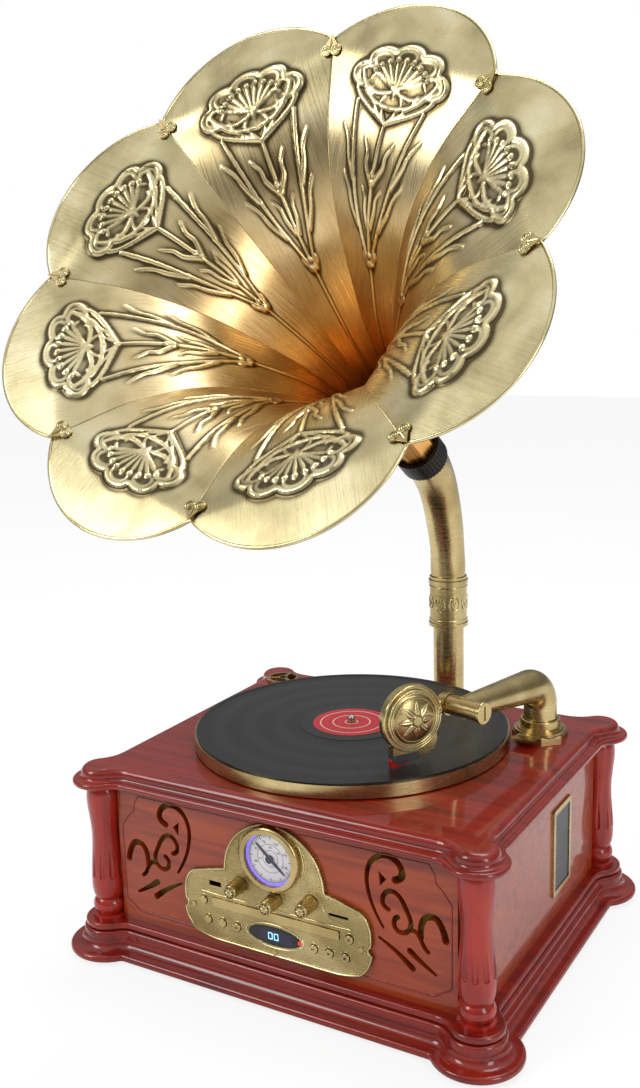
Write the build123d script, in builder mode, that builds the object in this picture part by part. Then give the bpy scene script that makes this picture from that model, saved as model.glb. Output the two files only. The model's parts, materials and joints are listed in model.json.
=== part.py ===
from build123d import *
import math
import os

# Horn record player: carved box cabinet, turntable on the lid, petal horn on a post behind.
# Origin: centre of the cabinet's footprint on the surface it stands on.
# +X to the right along the front, +Y to the back, +Z up. Millimetres.

os.makedirs("parts", exist_ok=True)

# Clearances
running_gap = 0.3
seat_gap = 0.15
loose_gap = 0.5

# Cabinet box
column_x = 189.0
column_y = 157.0
wall_height = 135.0
panel_thickness = 8.0
ear_growth = 14.5
hollow_growth = 30.0

# Plinth
foot_height = 3.0
slab_height = 7.0
slab_edge = 25.0
slab_round = 3.0
plinth_body_height = 17.0
plinth_body_edge = 11.0
plinth_cove = 8.0
plinth_groove_height = 2.0
plinth_groove_edge = 6.5
plinth_bead_height = 5.0
plinth_bead_edge = 9.0
plinth_bead_round = 2.3
plinth_wall = 22.0

# Bottom board and feet
board_thickness = 6.0
board_margin = 8.0
board_rise = 3.0
foot_radius = 12.0
foot_seat = 2.0

# Lid
lid_bead_height = 6.0
lid_bead_edge = 12.9
lid_bead_round = 2.8
lid_body_height = 11.0
lid_body_edge = 4.5
lid_cove = 4.0
lid_round = 6.8

# Corner columns and the posts behind them
column_foot_radius = 16.3
column_ring_radius = 15.7
column_pinch_radius = 12.8
column_waist_radius = 13.3
column_neck_radius = 11.0
column_foot_height = 3.5
column_ring_rise = 12.0
column_pinch_rise = 19.4
column_bulb_rise = 40.0
column_waist_rise = 91.0
column_shoulder_rise = 116.8
flute_count = 10
flute_radius = 2.6
flute_depth = 1.5
flute_low = 44.0
flute_high = 98.0
post_leg = 15.0

# Turntable
platter_x = -12.0
platter_y = 8.0
platter_radius = 152.8
platter_height = 11.9
platter_lift = 1.2
platter_top_thickness = 3.5
platter_wall = 3.5
platter_hub_radius = 12.0
belt_ring_radius = 69.0
belt_ring_wall = 3.0
belt_ring_lift = 1.3
record_radius = 150.8
record_thickness = 1.9
record_groove_depth = 0.3
record_edge_width = 4.0
label_land_radius = 50.0
spindle_radius = 3.6
spindle_rise = 7.0
spindle_tail = 22.0

# Belt drive
motor_distance = 120.0
motor_direction = 220.0
motor_radius = 18.0
motor_height = 27.0
motor_shaft_radius = 1.5
motor_bore_depth = 18.0
pulley_radius = 6.0
pulley_height = 6.0
pulley_lift = 2.0
belt_thickness = 1.2
belt_height = 4.0

# Tonearm
arm_x = 148.8
arm_y = 95.7
arm_base_radius = 27.0
arm_base_height = 4.5
arm_step_radius = 22.0
arm_step_height = 4.0
arm_cup_radius = 19.0
arm_cup_height = 8.5
arm_cup_wall = 2.4
arm_cup_depth = 7.0
arm_stud_radius = 9.0
arm_nut_radius = 15.0
arm_nut_height = 6.0
arm_pivot_radius = 6.0
arm_pivot_depth = 14.0
arm_stub_radius = 16.0
arm_bend_z = 215.0
arm_bend_radius = 25.0
arm_tip_radius = 10.0
tube_radius = 8.85
tube_bead_radius = 10.2
tube_bead_width = 3.0
tube_z = 250.0
tube_left_x = 101.6
tube_left_y = -29.0
tube_length = 47.6
tube_turn = -14.6
tube_neck_length = 9.0
cap_slot_width = 2.2
cap_slot_length = 13.0
cap_slot_depth = 1.6

# Soundbox
sound_x = 87.5
sound_y = -63.8
sound_z = 244.5
sound_turn = -31.6
sound_radius = 30.5
sound_ring_thickness = 7.5
sound_back = 4.5
sound_step_radius = 26.5
sound_step_height = 2.0
sound_dome_radius = 23.5
sound_dome_height = 5.0
sound_boss_radius = 4.0
sound_boss_height = 1.5
neck_pin_radius = 4.0
neck_pin_length = 14.0
neck_bridge_radius = 6.5

# Cartridge, stylus and finger lift
block_front = -20.0
block_back = 7.0
block_half = 4.0
block_low = -31.5
block_high = -24.0
cartridge_height = 8.0
stylus_out = 10.7
stylus_side = -1.9
stylus_radius = 1.6
stylus_gap = 0.3
lift_thickness = 1.6
lift_reach = 27.0
lift_tip_drop = -18.0

# Speed lever
lever_ring_wall = 3.0
lever_ring_height = 2.6
lever_tab_width = 22.0
lever_tab_length = 14.0
lever_tab_thickness = 1.6
lever_direction = -94.0
lever_tab_drop = 2.0

# Adapter for large-hole records
adapter_x = -166.0
adapter_y = 128.0
adapter_radius = 17.5
adapter_height = 7.0
adapter_rim = 2.6
adapter_hub_radius = 5.5
adapter_spoke_width = 4.0
adapter_recess_depth = 3.0

# Horn post and its bracket on the back panel
post_y = 212.0
post_radius = 16.7
post_bore_radius = 12.3
post_low = 84.0
post_high = 302.0
ferrule_radius = 20.3
ferrule_low = 250.0
ferrule_bead_radius = 21.5
ferrule_bead_width = 4.0
bracket_width = 56.0
bracket_height = 84.0
bracket_plate = 4.0
bracket_ring_wall = 5.0
bracket_ring_height = 14.0
bracket_arm_width = 22.0
bracket_floor = 4.0
bracket_screw_radius = 4.0

# Horn elbow: two arcs, widening along the way
elbow_gap = 0.6
elbow_foot_radius = 18.0
elbow_flange_radius = 20.3
elbow_flange_height = 3.0
elbow_end_radius = 23.0
elbow_wall = 3.0
elbow_spigot_radius = 12.0
elbow_spigot_length = 38.0
elbow_first_radius = 220.0
elbow_first_angle = 25.0
elbow_second_radius = 110.0
elbow_stations = 9

# Horn mouth
horn_tilt = 34.11
horn_depth = 347.0
horn_turn = 24.0
petal_count = 8
petal_thickness = 1.0
petal_seam = 0.3
lobe_radius = 102.0
lobe_offset = 157.0
rim_wire_radius = 1.5
throat_radius = 20.0
seam_curve = [
    (-330, 20.2), (-280, 23), (-230, 29), (-187, 40), (-152, 53.5), (-107, 79),
    (-85, 93), (-61, 113), (-36, 142), (-20, 170), (-8, 201), (0, 228.6),
]
lobe_tip_rise = 3.3
lobe_tip_radius = 262.0
horn_collar_radius = 25.5
horn_collar_length = 27.0
horn_collar_ribs = 40
clip_radius = 219.0
clip_size = 9.0
clip_thickness = 1.0
clip_crease = 2.6

# Control plate on the front panel
plate_thickness = 3.0
arch_radius = 51.5
arch_z = 113.0
plate_low = 40.6
dial_x = -1.0
dial_z = 134.0
bezel_radius = 30.3
bezel_depth = 7.0
bezel_wall = 5.3
bezel_lip = 1.3
dial_face_thickness = 1.0
dial_glass_thickness = 1.2
pointer_length = 38.0
pointer_width = 2.4
pointer_thickness = 1.0
pointer_turn = -41.0
pointer_hub_radius = 3.5
pointer_shaft_radius = 1.5
knob_x = [-34.5, 1.5, 37.5]
knob_z = [101.5, 95.2, 101.5]
knob_names = ["volume_knob", "function_knob", "tuning_knob"]
knob_base_radius = 7.25
knob_front_radius = 6.25
knob_length = 17.0
knob_flutes = 18
pot_radius = 7.5
pot_depth = 10.0
pot_shaft_radius = 3.0
pot_shaft_length = 12.0
button_radius = 4.0
button_proud = 2.2
button_flange = 1.1
button_flange_thickness = 1.0
button_stem_radius = 1.5
button_stem_length = 4.6
button_names = [
    "mode_button", "folder_button", "previous_button", "next_button",
    "play_button", "stop_button", "repeat_button", "eject_button",
]
button_x = [-70.9, -55.1, -39.6, 39.6, 55.1, 70.9, -75.0, 75.0]
button_z = [59.2, 59.2, 59.2, 59.2, 59.2, 59.2, 77.4, 77.4]
display_x = -0.4
display_z = 60.0
display_width = 54.0
display_height = 17.0
display_flange = 1.6
display_proud = 0.6
screw_x = [-86.0, 86.0, -0.7]
screw_z = [70.3, 70.3, 44.6]
screw_head_radius = 2.6
screw_head_height = 1.4
screw_shank_radius = 1.5
screw_length = 9.0
usb_x = -62.0
card_x = 64.5
socket_z = 95.5
usb_width = 12.6
usb_height = 4.6
card_width = 19.0
card_height = 2.4
socket_wall = 1.2
socket_depth = 16.0

# Disc tray and its drive
tray_half_width = 65.0
tray_low = 74.0
tray_high = 82.0
tray_front_proud = 1.2
tray_front_thickness = 6.0
tray_length = 140.0
tray_thickness = 5.6
tray_side_inset = 3.0
tray_disc_radius = 60.6
tray_disc_depth = 2.2
tray_disc_margin = 4.0
tray_hub_radius = 19.0
drive_wall = 1.6
drive_top = 85.0
drive_back_gap = 3.0
drive_ear = 20.0

# Opening behind the control plate, and the circuit board across it
opening_half = 82.0
opening_low = 49.5
opening_high = 101.0
opening_arch = 47.5
circuit_thickness = 1.6
circuit_half = 88.0
circuit_low = 50.2
circuit_high = 69.6
circuit_wing = 69.6
circuit_wing_high = 86.0
switch_radius = 2.0
switch_height = 1.1

# Scroll cut-outs in the front panel, drawn for the right half and mirrored
scroll_big = [(105.5, 94.7), (97, 109.5), (91.2, 128), (93.5, 149), (104.5, 159), (117, 157.6),
              (123.5, 149), (117, 139.7)]
scroll_head = [(119, 107.5), (115.5, 102), (118, 95.6), (126, 95.4), (131, 103), (127.5, 114.5),
               (121.5, 125), (113.7, 129.4), (106.5, 124.5), (105.2, 117), (110.5, 112.4)]
scroll_tail = [(129.5, 98.2), (136, 97.6), (140.5, 91), (146.5, 83)]
scroll_hook = [(139.7, 94.7), (140, 103), (144.5, 113), (152, 115), (158.7, 108), (162, 97)]
scroll_bar = [(101.7, 84.7), (116.5, 76.5), (132, 64.7)]
scroll_leaf = [(130, 79.7), (138.5, 73.5), (153, 64.7)]
scroll_barb = [(101.7, 144.7), (109, 138.6), (102.9, 131.3)]

# Speakers behind the cut-outs
mesh_inner_x = 89.5
mesh_outer_x = 165.5
mesh_low = 56.0
mesh_high = 165.0
mesh_thickness = 0.8
speaker_x = 128.0
speaker_z = 108.0
speaker_radius = 33.0
speaker_rim_width = 4.5
speaker_flange = 2.0
speaker_depth = 34.0
speaker_wall = 1.5
magnet_radius = 20.0
magnet_depth = 13.0
coil_radius = 8.0
cone_thickness = 0.8

# Cassette bay in the right side
bay_y = 43.0
bay_z = 100.0
bay_width = 48.0
bay_height = 85.0
bay_proud = 2.0
bay_rim = 5.0
bay_hole_margin = 3.0
door_thickness = 2.0
door_sunk = 0.8
door_pin_radius = 1.0
door_pin_inset = 1.5
door_pin_length = 2.0
deck_wall = 2.0
deck_swing_depth = 42.0
deck_slot_width = 15.0
deck_slot_height = 68.0
deck_slot_depth = 66.0

# Sockets on the back panel
terminal_x = -110.0
terminal_z = 70.0
terminal_width = 74.0
terminal_height = 26.0
terminal_thickness = 2.0
jack_radius = 4.5
jack_bore_radius = 1.7
jack_length = 9.0
jack_pitch = 16.0
inlet_width = 18.0
inlet_height = 11.0
inlet_depth = 14.0

# Heights that follow from the sizes above
plinth_body_low = foot_height + slab_height
plinth_groove_low = plinth_body_low + plinth_body_height
plinth_bead_low = plinth_groove_low + plinth_groove_height
plinth_top = plinth_bead_low + plinth_bead_height
lid_low = plinth_top + wall_height
lid_body_low = lid_low + lid_bead_height
lid_top = lid_body_low + lid_body_height
platter_low = lid_top + platter_lift
platter_top = platter_low + platter_height
record_top = platter_top + record_thickness
post_inner_x = column_x - panel_thickness
post_inner_y = column_y - panel_thickness
notch_radius = column_foot_radius + running_gap
inner_half_x = column_x - plinth_wall
inner_half_y = column_y - plinth_wall

# Planes of the front panel and of the control plate, both looking out to the front
front_plane = Plane(origin=(0, -column_y, 0), x_dir=(1, 0, 0), z_dir=(0, -1, 0))
plate_plane = front_plane.offset(plate_thickness)
panel_back_plane = front_plane.offset(-panel_thickness)
side_plane = Plane(origin=(column_x, 0, 0), x_dir=(0, 1, 0), z_dir=(1, 0, 0))
back_plane = Plane(origin=(0, column_y, 0), x_dir=(-1, 0, 0), z_dir=(0, 1, 0))


def eared_face(edge):
    """Outline of lid and plinth: straight sides, a round ear at each column, hollow curves between."""
    ear = ear_growth + edge
    hollow = hollow_growth - edge
    reach = math.sqrt((ear + hollow) ** 2 - (edge + hollow) ** 2)
    share = ear / (ear + hollow)
    back_start = (column_x - reach, column_y + edge)
    back_touch = (column_x - share * reach, column_y + share * (edge + hollow))
    ear_tip = (column_x + ear / math.sqrt(2), column_y + ear / math.sqrt(2))
    side_touch = (column_x + share * (edge + hollow), column_y - share * reach)
    side_start = (column_x + edge, column_y - reach)
    with BuildSketch() as face:
        with BuildLine():
            Line((0, column_y + edge), back_start)
            TangentArc(back_start, back_touch, tangent=(1, 0))
            ThreePointArc(back_touch, ear_tip, side_touch)
            TangentArc(side_start, side_touch, tangent=(0, 1))
            Line(side_start, (column_x + edge, 0))
            mirror(about=Plane.YZ)
            mirror(about=Plane.XZ)
        make_face()
    return face.sketch


def tapered_stroke(points, start_width, end_width, stations=11):
    """Closed face along a curve through the points, its width changing steadily, its ends round."""
    centre = Spline(*points)
    left = []
    right = []
    for i in range(stations):
        t = i / (stations - 1)
        half = (start_width + (end_width - start_width) * t) / 2
        along = centre % t
        side = Vector(-along.Y, along.X) * half
        left.append(centre @ t + side)
        right.append(centre @ t - side)
    start_tip = centre @ 0 - (centre % 0) * (start_width / 2)
    end_tip = centre @ 1 + (centre % 1) * (end_width / 2)
    with BuildSketch() as stroke:
        with BuildLine():
            Spline(*left)
            ThreePointArc(left[-1], end_tip, right[-1])
            Spline(*right)
            ThreePointArc(right[0], start_tip, left[0])
        make_face()
    return stroke.sketch


scroll_strokes = [
    tapered_stroke(scroll_big, 2.6, 6.6),
    tapered_stroke(scroll_head, 4.6, 4.6, stations=17),
    tapered_stroke(scroll_tail, 4.4, 4.0),
    tapered_stroke(scroll_hook, 5.6, 6.4),
    tapered_stroke(scroll_bar, 2.6, 6.2, stations=5),
    tapered_stroke(scroll_leaf, 6.0, 2.8, stations=5),
]
lid_bead_face = eared_face(lid_bead_edge)
lid_body_face = eared_face(lid_body_edge)
slab_face = eared_face(slab_edge)
plinth_body_face = eared_face(plinth_body_edge)
plinth_groove_face = eared_face(plinth_groove_edge)
plinth_bead_face = eared_face(plinth_bead_edge)

# Plinth: eared slab, body with a cove, groove and top bead, hollow in the middle
with BuildPart() as plinth:
    with BuildSketch(Plane.XY.offset(foot_height)):
        add(slab_face)
    extrude(amount=slab_height)
    fillet(plinth.faces().sort_by(Axis.Z)[0].edges(), slab_round)
    with BuildSketch(Plane.XY.offset(plinth_body_low)):
        add(plinth_body_face)
    extrude(amount=plinth_body_height)
    plinth_shelf = plinth.faces().filter_by(Axis.Z).group_by(Axis.Z)[1][0]
    fillet(plinth_shelf.inner_wires().edges(), plinth_cove)
    plinth_shelf = plinth.faces().filter_by(Axis.Z).group_by(Axis.Z)[1][0]
    fillet(plinth_shelf.outer_wire().edges(), slab_round)
    fillet(plinth.faces().sort_by(Axis.Z)[-1].edges(), slab_round)
    with BuildSketch(Plane.XY.offset(plinth_groove_low)):
        add(plinth_groove_face)
    extrude(amount=plinth_groove_height)
    with BuildSketch(Plane.XY.offset(plinth_bead_low)):
        add(plinth_bead_face)
    extrude(amount=plinth_bead_height)
    fillet(plinth.faces().sort_by(Axis.Z)[-1].edges(), plinth_bead_round)
    with BuildSketch(Plane.XY.offset(foot_height)):
        Rectangle(2 * inner_half_x, 2 * inner_half_y)
    extrude(amount=plinth_top, mode=Mode.SUBTRACT)
    with BuildSketch(Plane.XY.offset(foot_height)):
        Rectangle(2 * (inner_half_x + board_margin), 2 * (inner_half_y + board_margin))
    extrude(amount=board_rise + board_thickness, mode=Mode.SUBTRACT)
    with Locations((0, 0, foot_height)):
        with GridLocations(2 * column_x, 2 * column_y, 2, 2):
            Cylinder(foot_radius + seat_gap, foot_seat, align=(Align.CENTER, Align.CENTER, Align.MIN),
                     mode=Mode.SUBTRACT)
plinth.part.label = "plinth"
export_step(plinth.part, "parts/plinth.step")

# Bottom board, let into the underside of the plinth
with BuildPart() as bottom_board:
    with BuildSketch(Plane.XY.offset(foot_height + board_rise)):
        Rectangle(
            2 * (inner_half_x + board_margin - running_gap),
            2 * (inner_half_y + board_margin - running_gap),
        )
    extrude(amount=board_thickness)
bottom_board.part.label = "bottom_board"
export_step(bottom_board.part, "parts/bottom_board.step")

# Four rubber feet under the ears of the plinth
with BuildPart() as rubber_feet:
    with BuildSketch():
        with GridLocations(2 * column_x, 2 * column_y, 2, 2):
            Circle(foot_radius)
    extrude(amount=foot_height + foot_seat)
    chamfer(rubber_feet.faces().filter_by(Axis.Z).group_by(Axis.Z)[0].edges(), 0.8)
rubber_feet.part.label = "rubber_feet"
export_step(rubber_feet.part, "parts/rubber_feet.step")

# Front panel: opening behind the control plate, scroll cut-outs on both sides, screw holes
with BuildPart() as front_panel:
    with BuildSketch(front_plane):
        with Locations((0, plinth_top)):
            Rectangle(2 * column_x, wall_height, align=(Align.CENTER, Align.MIN))
    extrude(amount=-panel_thickness)
    with BuildSketch(Plane.XY.offset(plinth_top)):
        with GridLocations(2 * column_x, 2 * column_y, 2, 2):
            Circle(notch_radius)
    extrude(amount=wall_height, mode=Mode.SUBTRACT)
    with Locations((column_x, -column_y, plinth_top), (-column_x, -column_y, plinth_top)):
        Box(2 * (panel_thickness + running_gap), 2 * panel_thickness + 1, 2 * wall_height, mode=Mode.SUBTRACT)
    with BuildSketch(front_plane):
        with Locations((0, opening_low)):
            Rectangle(2 * opening_half, opening_high - opening_low, align=(Align.CENTER, Align.MIN))
        with Locations((0, arch_z)):
            Circle(opening_arch)
        with Locations(*zip(screw_x, screw_z)):
            Circle(screw_shank_radius + seat_gap)
    extrude(amount=-panel_thickness, mode=Mode.SUBTRACT)
    with BuildSketch(front_plane):
        for stroke in scroll_strokes:
            add(stroke)
        with BuildLine():
            Polyline(*scroll_barb, close=True)
        make_face()
        mirror(about=Plane.YZ)
    extrude(amount=-panel_thickness, mode=Mode.SUBTRACT)
front_panel.part.label = "front_panel"
export_step(front_panel.part, "parts/front_panel.step")

# Back panel with a window for the sockets
with BuildPart() as back_panel:
    with BuildSketch(back_plane):
        with Locations((0, plinth_top)):
            Rectangle(2 * (post_inner_x - running_gap), wall_height, align=(Align.CENTER, Align.MIN))
        with Locations((-terminal_x, terminal_z)):
            Rectangle(terminal_width - 8, terminal_height - 8, mode=Mode.SUBTRACT)
    extrude(amount=-panel_thickness)
    with BuildSketch(Plane.XY.offset(plinth_top)):
        with GridLocations(2 * column_x, 2 * column_y, 2, 2):
            Circle(notch_radius)
    extrude(amount=wall_height, mode=Mode.SUBTRACT)
back_panel.part.label = "back_panel"
export_step(back_panel.part, "parts/back_panel.step")

# Side panels; the right one has the cassette opening
for name, sign in (("left_panel", -1), ("right_panel", 1)):
    with BuildPart() as side_panel:
        with BuildSketch(Plane.XY.offset(plinth_top)):
            with Locations((sign * (column_x - panel_thickness / 2), 0)):
                Rectangle(panel_thickness, 2 * (post_inner_y - running_gap))
            with GridLocations(2 * column_x, 2 * column_y, 2, 2):
                Circle(notch_radius, mode=Mode.SUBTRACT)
        extrude(amount=wall_height)
        if sign > 0:
            with BuildSketch(side_plane):
                with Locations((bay_y, bay_z)):
                    Rectangle(bay_width - 2 * bay_hole_margin, bay_height - 2 * bay_hole_margin)
            extrude(amount=-panel_thickness, mode=Mode.SUBTRACT)
    side_panel.part.label = name
    export_step(side_panel.part, f"parts/{name}.step")

# Square posts inside the corners, notched round the columns
with BuildPart() as corner_posts:
    with BuildSketch(Plane.XY.offset(plinth_top)):
        with GridLocations(2 * (post_inner_x - post_leg / 2), 2 * (post_inner_y - post_leg / 2), 2, 2):
            Rectangle(post_leg, post_leg)
        with GridLocations(2 * column_x, 2 * column_y, 2, 2):
            Circle(notch_radius, mode=Mode.SUBTRACT)
    extrude(amount=wall_height)
corner_posts.part.label = "corner_posts"
export_step(corner_posts.part, "parts/corner_posts.step")

# Four turned and fluted columns
ring_low = plinth_top + column_foot_height
with BuildPart() as column:
    with BuildSketch(Plane.XZ):
        with BuildLine():
            Polyline(
                (0, plinth_top + wall_height),
                (0, plinth_top),
                (column_foot_radius, plinth_top),
                (column_foot_radius, ring_low),
                (column_pinch_radius, ring_low + 1.3),
            )
            ThreePointArc(
                (column_pinch_radius, ring_low + 1.3),
                (column_ring_radius, plinth_top + column_ring_rise),
                (column_pinch_radius, plinth_top + column_pinch_rise),
            )
            Spline(
                (column_pinch_radius, plinth_top + column_pinch_rise),
                (column_ring_radius, plinth_top + column_bulb_rise),
                (column_waist_radius, plinth_top + column_waist_rise),
                (column_ring_radius, plinth_top + column_shoulder_rise),
                (column_neck_radius, plinth_top + wall_height),
                tangents=((0.6, 1), (-1, 1)),
            )
            Line((column_neck_radius, plinth_top + wall_height), (0, plinth_top + wall_height))
        make_face()
    revolve(axis=Axis.Z)
    with Locations((0, 0, plinth_top + flute_low)):
        with PolarLocations(column_ring_radius - 0.7 + flute_radius - flute_depth, flute_count):
            Cylinder(flute_radius, flute_high - flute_low, align=(Align.CENTER, Align.CENTER, Align.MIN),
                     mode=Mode.SUBTRACT)
    for flute_end in (flute_low, flute_high):
        with Locations((0, 0, plinth_top + flute_end)):
            with PolarLocations(column_ring_radius - 0.7 + flute_radius - flute_depth, flute_count):
                Sphere(flute_radius, mode=Mode.SUBTRACT)
with BuildPart() as corner_columns:
    with GridLocations(2 * column_x, 2 * column_y, 2, 2):
        add(column.part)
corner_columns.part.label = "corner_columns"
export_step(corner_columns.part, "parts/corner_columns.step")

# Motor axis below the platter
motor_x = platter_x + motor_distance * math.cos(math.radians(motor_direction))
motor_y = platter_y + motor_distance * math.sin(math.radians(motor_direction))

# Lid: eared board with a bead, a cove and a rounded top edge
with BuildPart() as lid:
    with BuildSketch(Plane.XY.offset(lid_low)):
        add(lid_bead_face)
    extrude(amount=lid_bead_height)
    fillet(lid.faces().sort_by(Axis.Z)[0].edges(), lid_bead_round)
    with BuildSketch(Plane.XY.offset(lid_body_low)):
        add(lid_body_face)
    extrude(amount=lid_body_height)
    lid_shelf = lid.faces().filter_by(Axis.Z).group_by(Axis.Z)[1][0]
    fillet(lid_shelf.inner_wires().edges(), lid_cove)
    lid_shelf = lid.faces().filter_by(Axis.Z).group_by(Axis.Z)[1][0]
    fillet(lid_shelf.outer_wire().edges(), lid_bead_round)
    fillet(lid.faces().sort_by(Axis.Z)[-1].edges(), lid_round)
    with BuildSketch(Plane.XY.offset(lid_low)):
        with Locations((platter_x, platter_y)):
            Circle(spindle_radius + running_gap)
        with Locations((motor_x, motor_y)):
            Circle(motor_shaft_radius + running_gap)
        with Locations((arm_x, arm_y)):
            Circle(arm_stud_radius + running_gap)
    extrude(amount=lid_top, mode=Mode.SUBTRACT)
    with BuildSketch(Plane.XY.offset(lid_top)):
        with Locations((adapter_x, adapter_y)):
            Circle(adapter_radius + loose_gap)
    extrude(amount=-adapter_recess_depth, mode=Mode.SUBTRACT)
lid.part.label = "lid"
export_step(lid.part, "parts/lid.step")

# Platter: rim and belt ring under a thin top
with BuildPart() as platter:
    with BuildSketch(Plane.XZ):
        with Locations((0, platter_top)):
            Rectangle(platter_radius, platter_top_thickness, align=(Align.MIN, Align.MAX))
        with Locations((platter_radius, platter_top)):
            Rectangle(platter_wall, platter_height, align=(Align.MAX, Align.MAX))
        with Locations((belt_ring_radius, platter_top)):
            Rectangle(belt_ring_wall, platter_height - belt_ring_lift, align=(Align.MAX, Align.MAX))
        with Locations((0, platter_top)):
            Rectangle(platter_hub_radius, platter_height, align=(Align.MIN, Align.MAX))
        with Locations((0, platter_top)):
            Rectangle(spindle_radius, platter_height, align=(Align.MIN, Align.MAX), mode=Mode.SUBTRACT)
    revolve(axis=Axis.Z)
platter.part.position = (platter_x, platter_y, 0)
platter.part.label = "platter"
export_step(platter.part, "parts/platter.step")

# Record: raised edge and label land, grooved band a little lower
with BuildPart() as record:
    with BuildSketch(Plane.XY.offset(platter_top)):
        with Locations((platter_x, platter_y)):
            Circle(record_radius)
            Circle(spindle_radius + seat_gap, mode=Mode.SUBTRACT)
    extrude(amount=record_thickness)
    with BuildSketch(Plane.XY.offset(record_top)):
        with Locations((platter_x, platter_y)):
            Circle(record_radius - record_edge_width)
            Circle(label_land_radius, mode=Mode.SUBTRACT)
    extrude(amount=-record_groove_depth, mode=Mode.SUBTRACT)
record.part.label = "record"
export_step(record.part, "parts/record.step")

# Spindle through platter, record and lid
with BuildPart() as spindle:
    with BuildSketch(Plane.XY.offset(lid_top - spindle_tail)):
        with Locations((platter_x, platter_y)):
            Circle(spindle_radius)
    extrude(amount=record_top + spindle_rise - lid_top + spindle_tail)
    fillet(spindle.faces().sort_by(Axis.Z)[-1].edges(), spindle_radius * 0.8)
spindle.part.label = "spindle"
export_step(spindle.part, "parts/spindle.step")

# Turntable motor under the lid
with BuildPart() as turntable_motor:
    with BuildSketch(Plane.XY.offset(lid_low)):
        with Locations((motor_x, motor_y)):
            Circle(motor_radius)
            Rectangle(2 * motor_radius + 16, 16, rotation=motor_direction)
    extrude(amount=-3)
    with BuildSketch(Plane.XY.offset(lid_low)):
        with Locations((motor_x, motor_y)):
            Circle(motor_radius)
    extrude(amount=-motor_height)
    with BuildSketch(Plane.XY.offset(lid_low)):
        with Locations((motor_x, motor_y)):
            Circle(motor_shaft_radius + running_gap)
    extrude(amount=-motor_bore_depth, mode=Mode.SUBTRACT)
turntable_motor.part.label = "turntable_motor"
export_step(turntable_motor.part, "parts/turntable_motor.step")

# Motor pulley with its shaft
pulley_low = lid_top + pulley_lift
with BuildPart() as motor_pulley:
    with BuildSketch(Plane.XY.offset(lid_low - motor_bore_depth + 1)):
        with Locations((motor_x, motor_y)):
            Circle(motor_shaft_radius)
    extrude(amount=pulley_low - lid_low + motor_bore_depth - 1)
    with BuildSketch(Plane.XY.offset(pulley_low)):
        with Locations((motor_x, motor_y)):
            Circle(pulley_radius)
    extrude(amount=pulley_height)
motor_pulley.part.label = "motor_pulley"
export_step(motor_pulley.part, "parts/motor_pulley.step")

# Flat belt from the pulley round the platter's belt ring
with BuildPart() as drive_belt:
    with BuildSketch(Plane.XY.offset(pulley_low + (pulley_height - belt_height) / 2)):
        for grow, belt_mode in ((belt_thickness, Mode.ADD), (0, Mode.SUBTRACT)):
            with BuildSketch(mode=Mode.PRIVATE) as belt_loop:
                with Locations((platter_x, platter_y)):
                    Circle(belt_ring_radius + running_gap + grow)
                with Locations((motor_x, motor_y)):
                    Circle(pulley_radius + running_gap + grow)
                make_hull()
            add(belt_loop.sketch, mode=belt_mode)
    extrude(amount=belt_height)
drive_belt.part.label = "drive_belt"
export_step(drive_belt.part, "parts/drive_belt.step")

# Tonearm base: eight-sided flange, step and cup, stud and nut through the lid
arm_step_low = lid_top + arm_base_height
arm_cup_low = arm_step_low + arm_step_height
arm_cup_top = arm_cup_low + arm_cup_height
with BuildPart() as tonearm_base:
    with BuildSketch(Plane.XY.offset(lid_top)):
        with Locations((arm_x, arm_y)):
            RegularPolygon(arm_base_radius, 8, rotation=22.5)
    extrude(amount=arm_base_height)
    chamfer(tonearm_base.faces().sort_by(Axis.Z)[-1].edges(), 1.2)
    with BuildSketch(Plane.XY.offset(arm_step_low)):
        with Locations((arm_x, arm_y)):
            Circle(arm_step_radius)
    extrude(amount=arm_step_height)
    with BuildSketch(Plane.XY.offset(arm_cup_low)):
        with Locations((arm_x, arm_y)):
            Circle(arm_cup_radius)
    extrude(amount=arm_cup_height)
    fillet(tonearm_base.faces().sort_by(Axis.Z)[-1].edges(), 0.8)
    with BuildSketch(Plane.XY.offset(arm_cup_top)):
        with Locations((arm_x, arm_y)):
            Circle(arm_cup_radius - arm_cup_wall)
    extrude(amount=-arm_cup_depth, mode=Mode.SUBTRACT)
    with BuildSketch(Plane.XY.offset(lid_low)):
        with Locations((arm_x, arm_y)):
            Circle(arm_stud_radius)
    extrude(amount=lid_top - lid_low)
    with BuildSketch(Plane.XY.offset(lid_low - arm_nut_height)):
        with Locations((arm_x, arm_y)):
            RegularPolygon(arm_nut_radius, 6)
    extrude(amount=arm_nut_height)
    with BuildSketch(Plane.XY.offset(arm_cup_top)):
        with Locations((arm_x, arm_y)):
            Circle(arm_pivot_radius + running_gap)
    extrude(amount=-arm_cup_depth - arm_pivot_depth - loose_gap, mode=Mode.SUBTRACT)
tonearm_base.part.label = "tonearm_base"
export_step(tonearm_base.part, "parts/tonearm_base.step")

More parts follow.
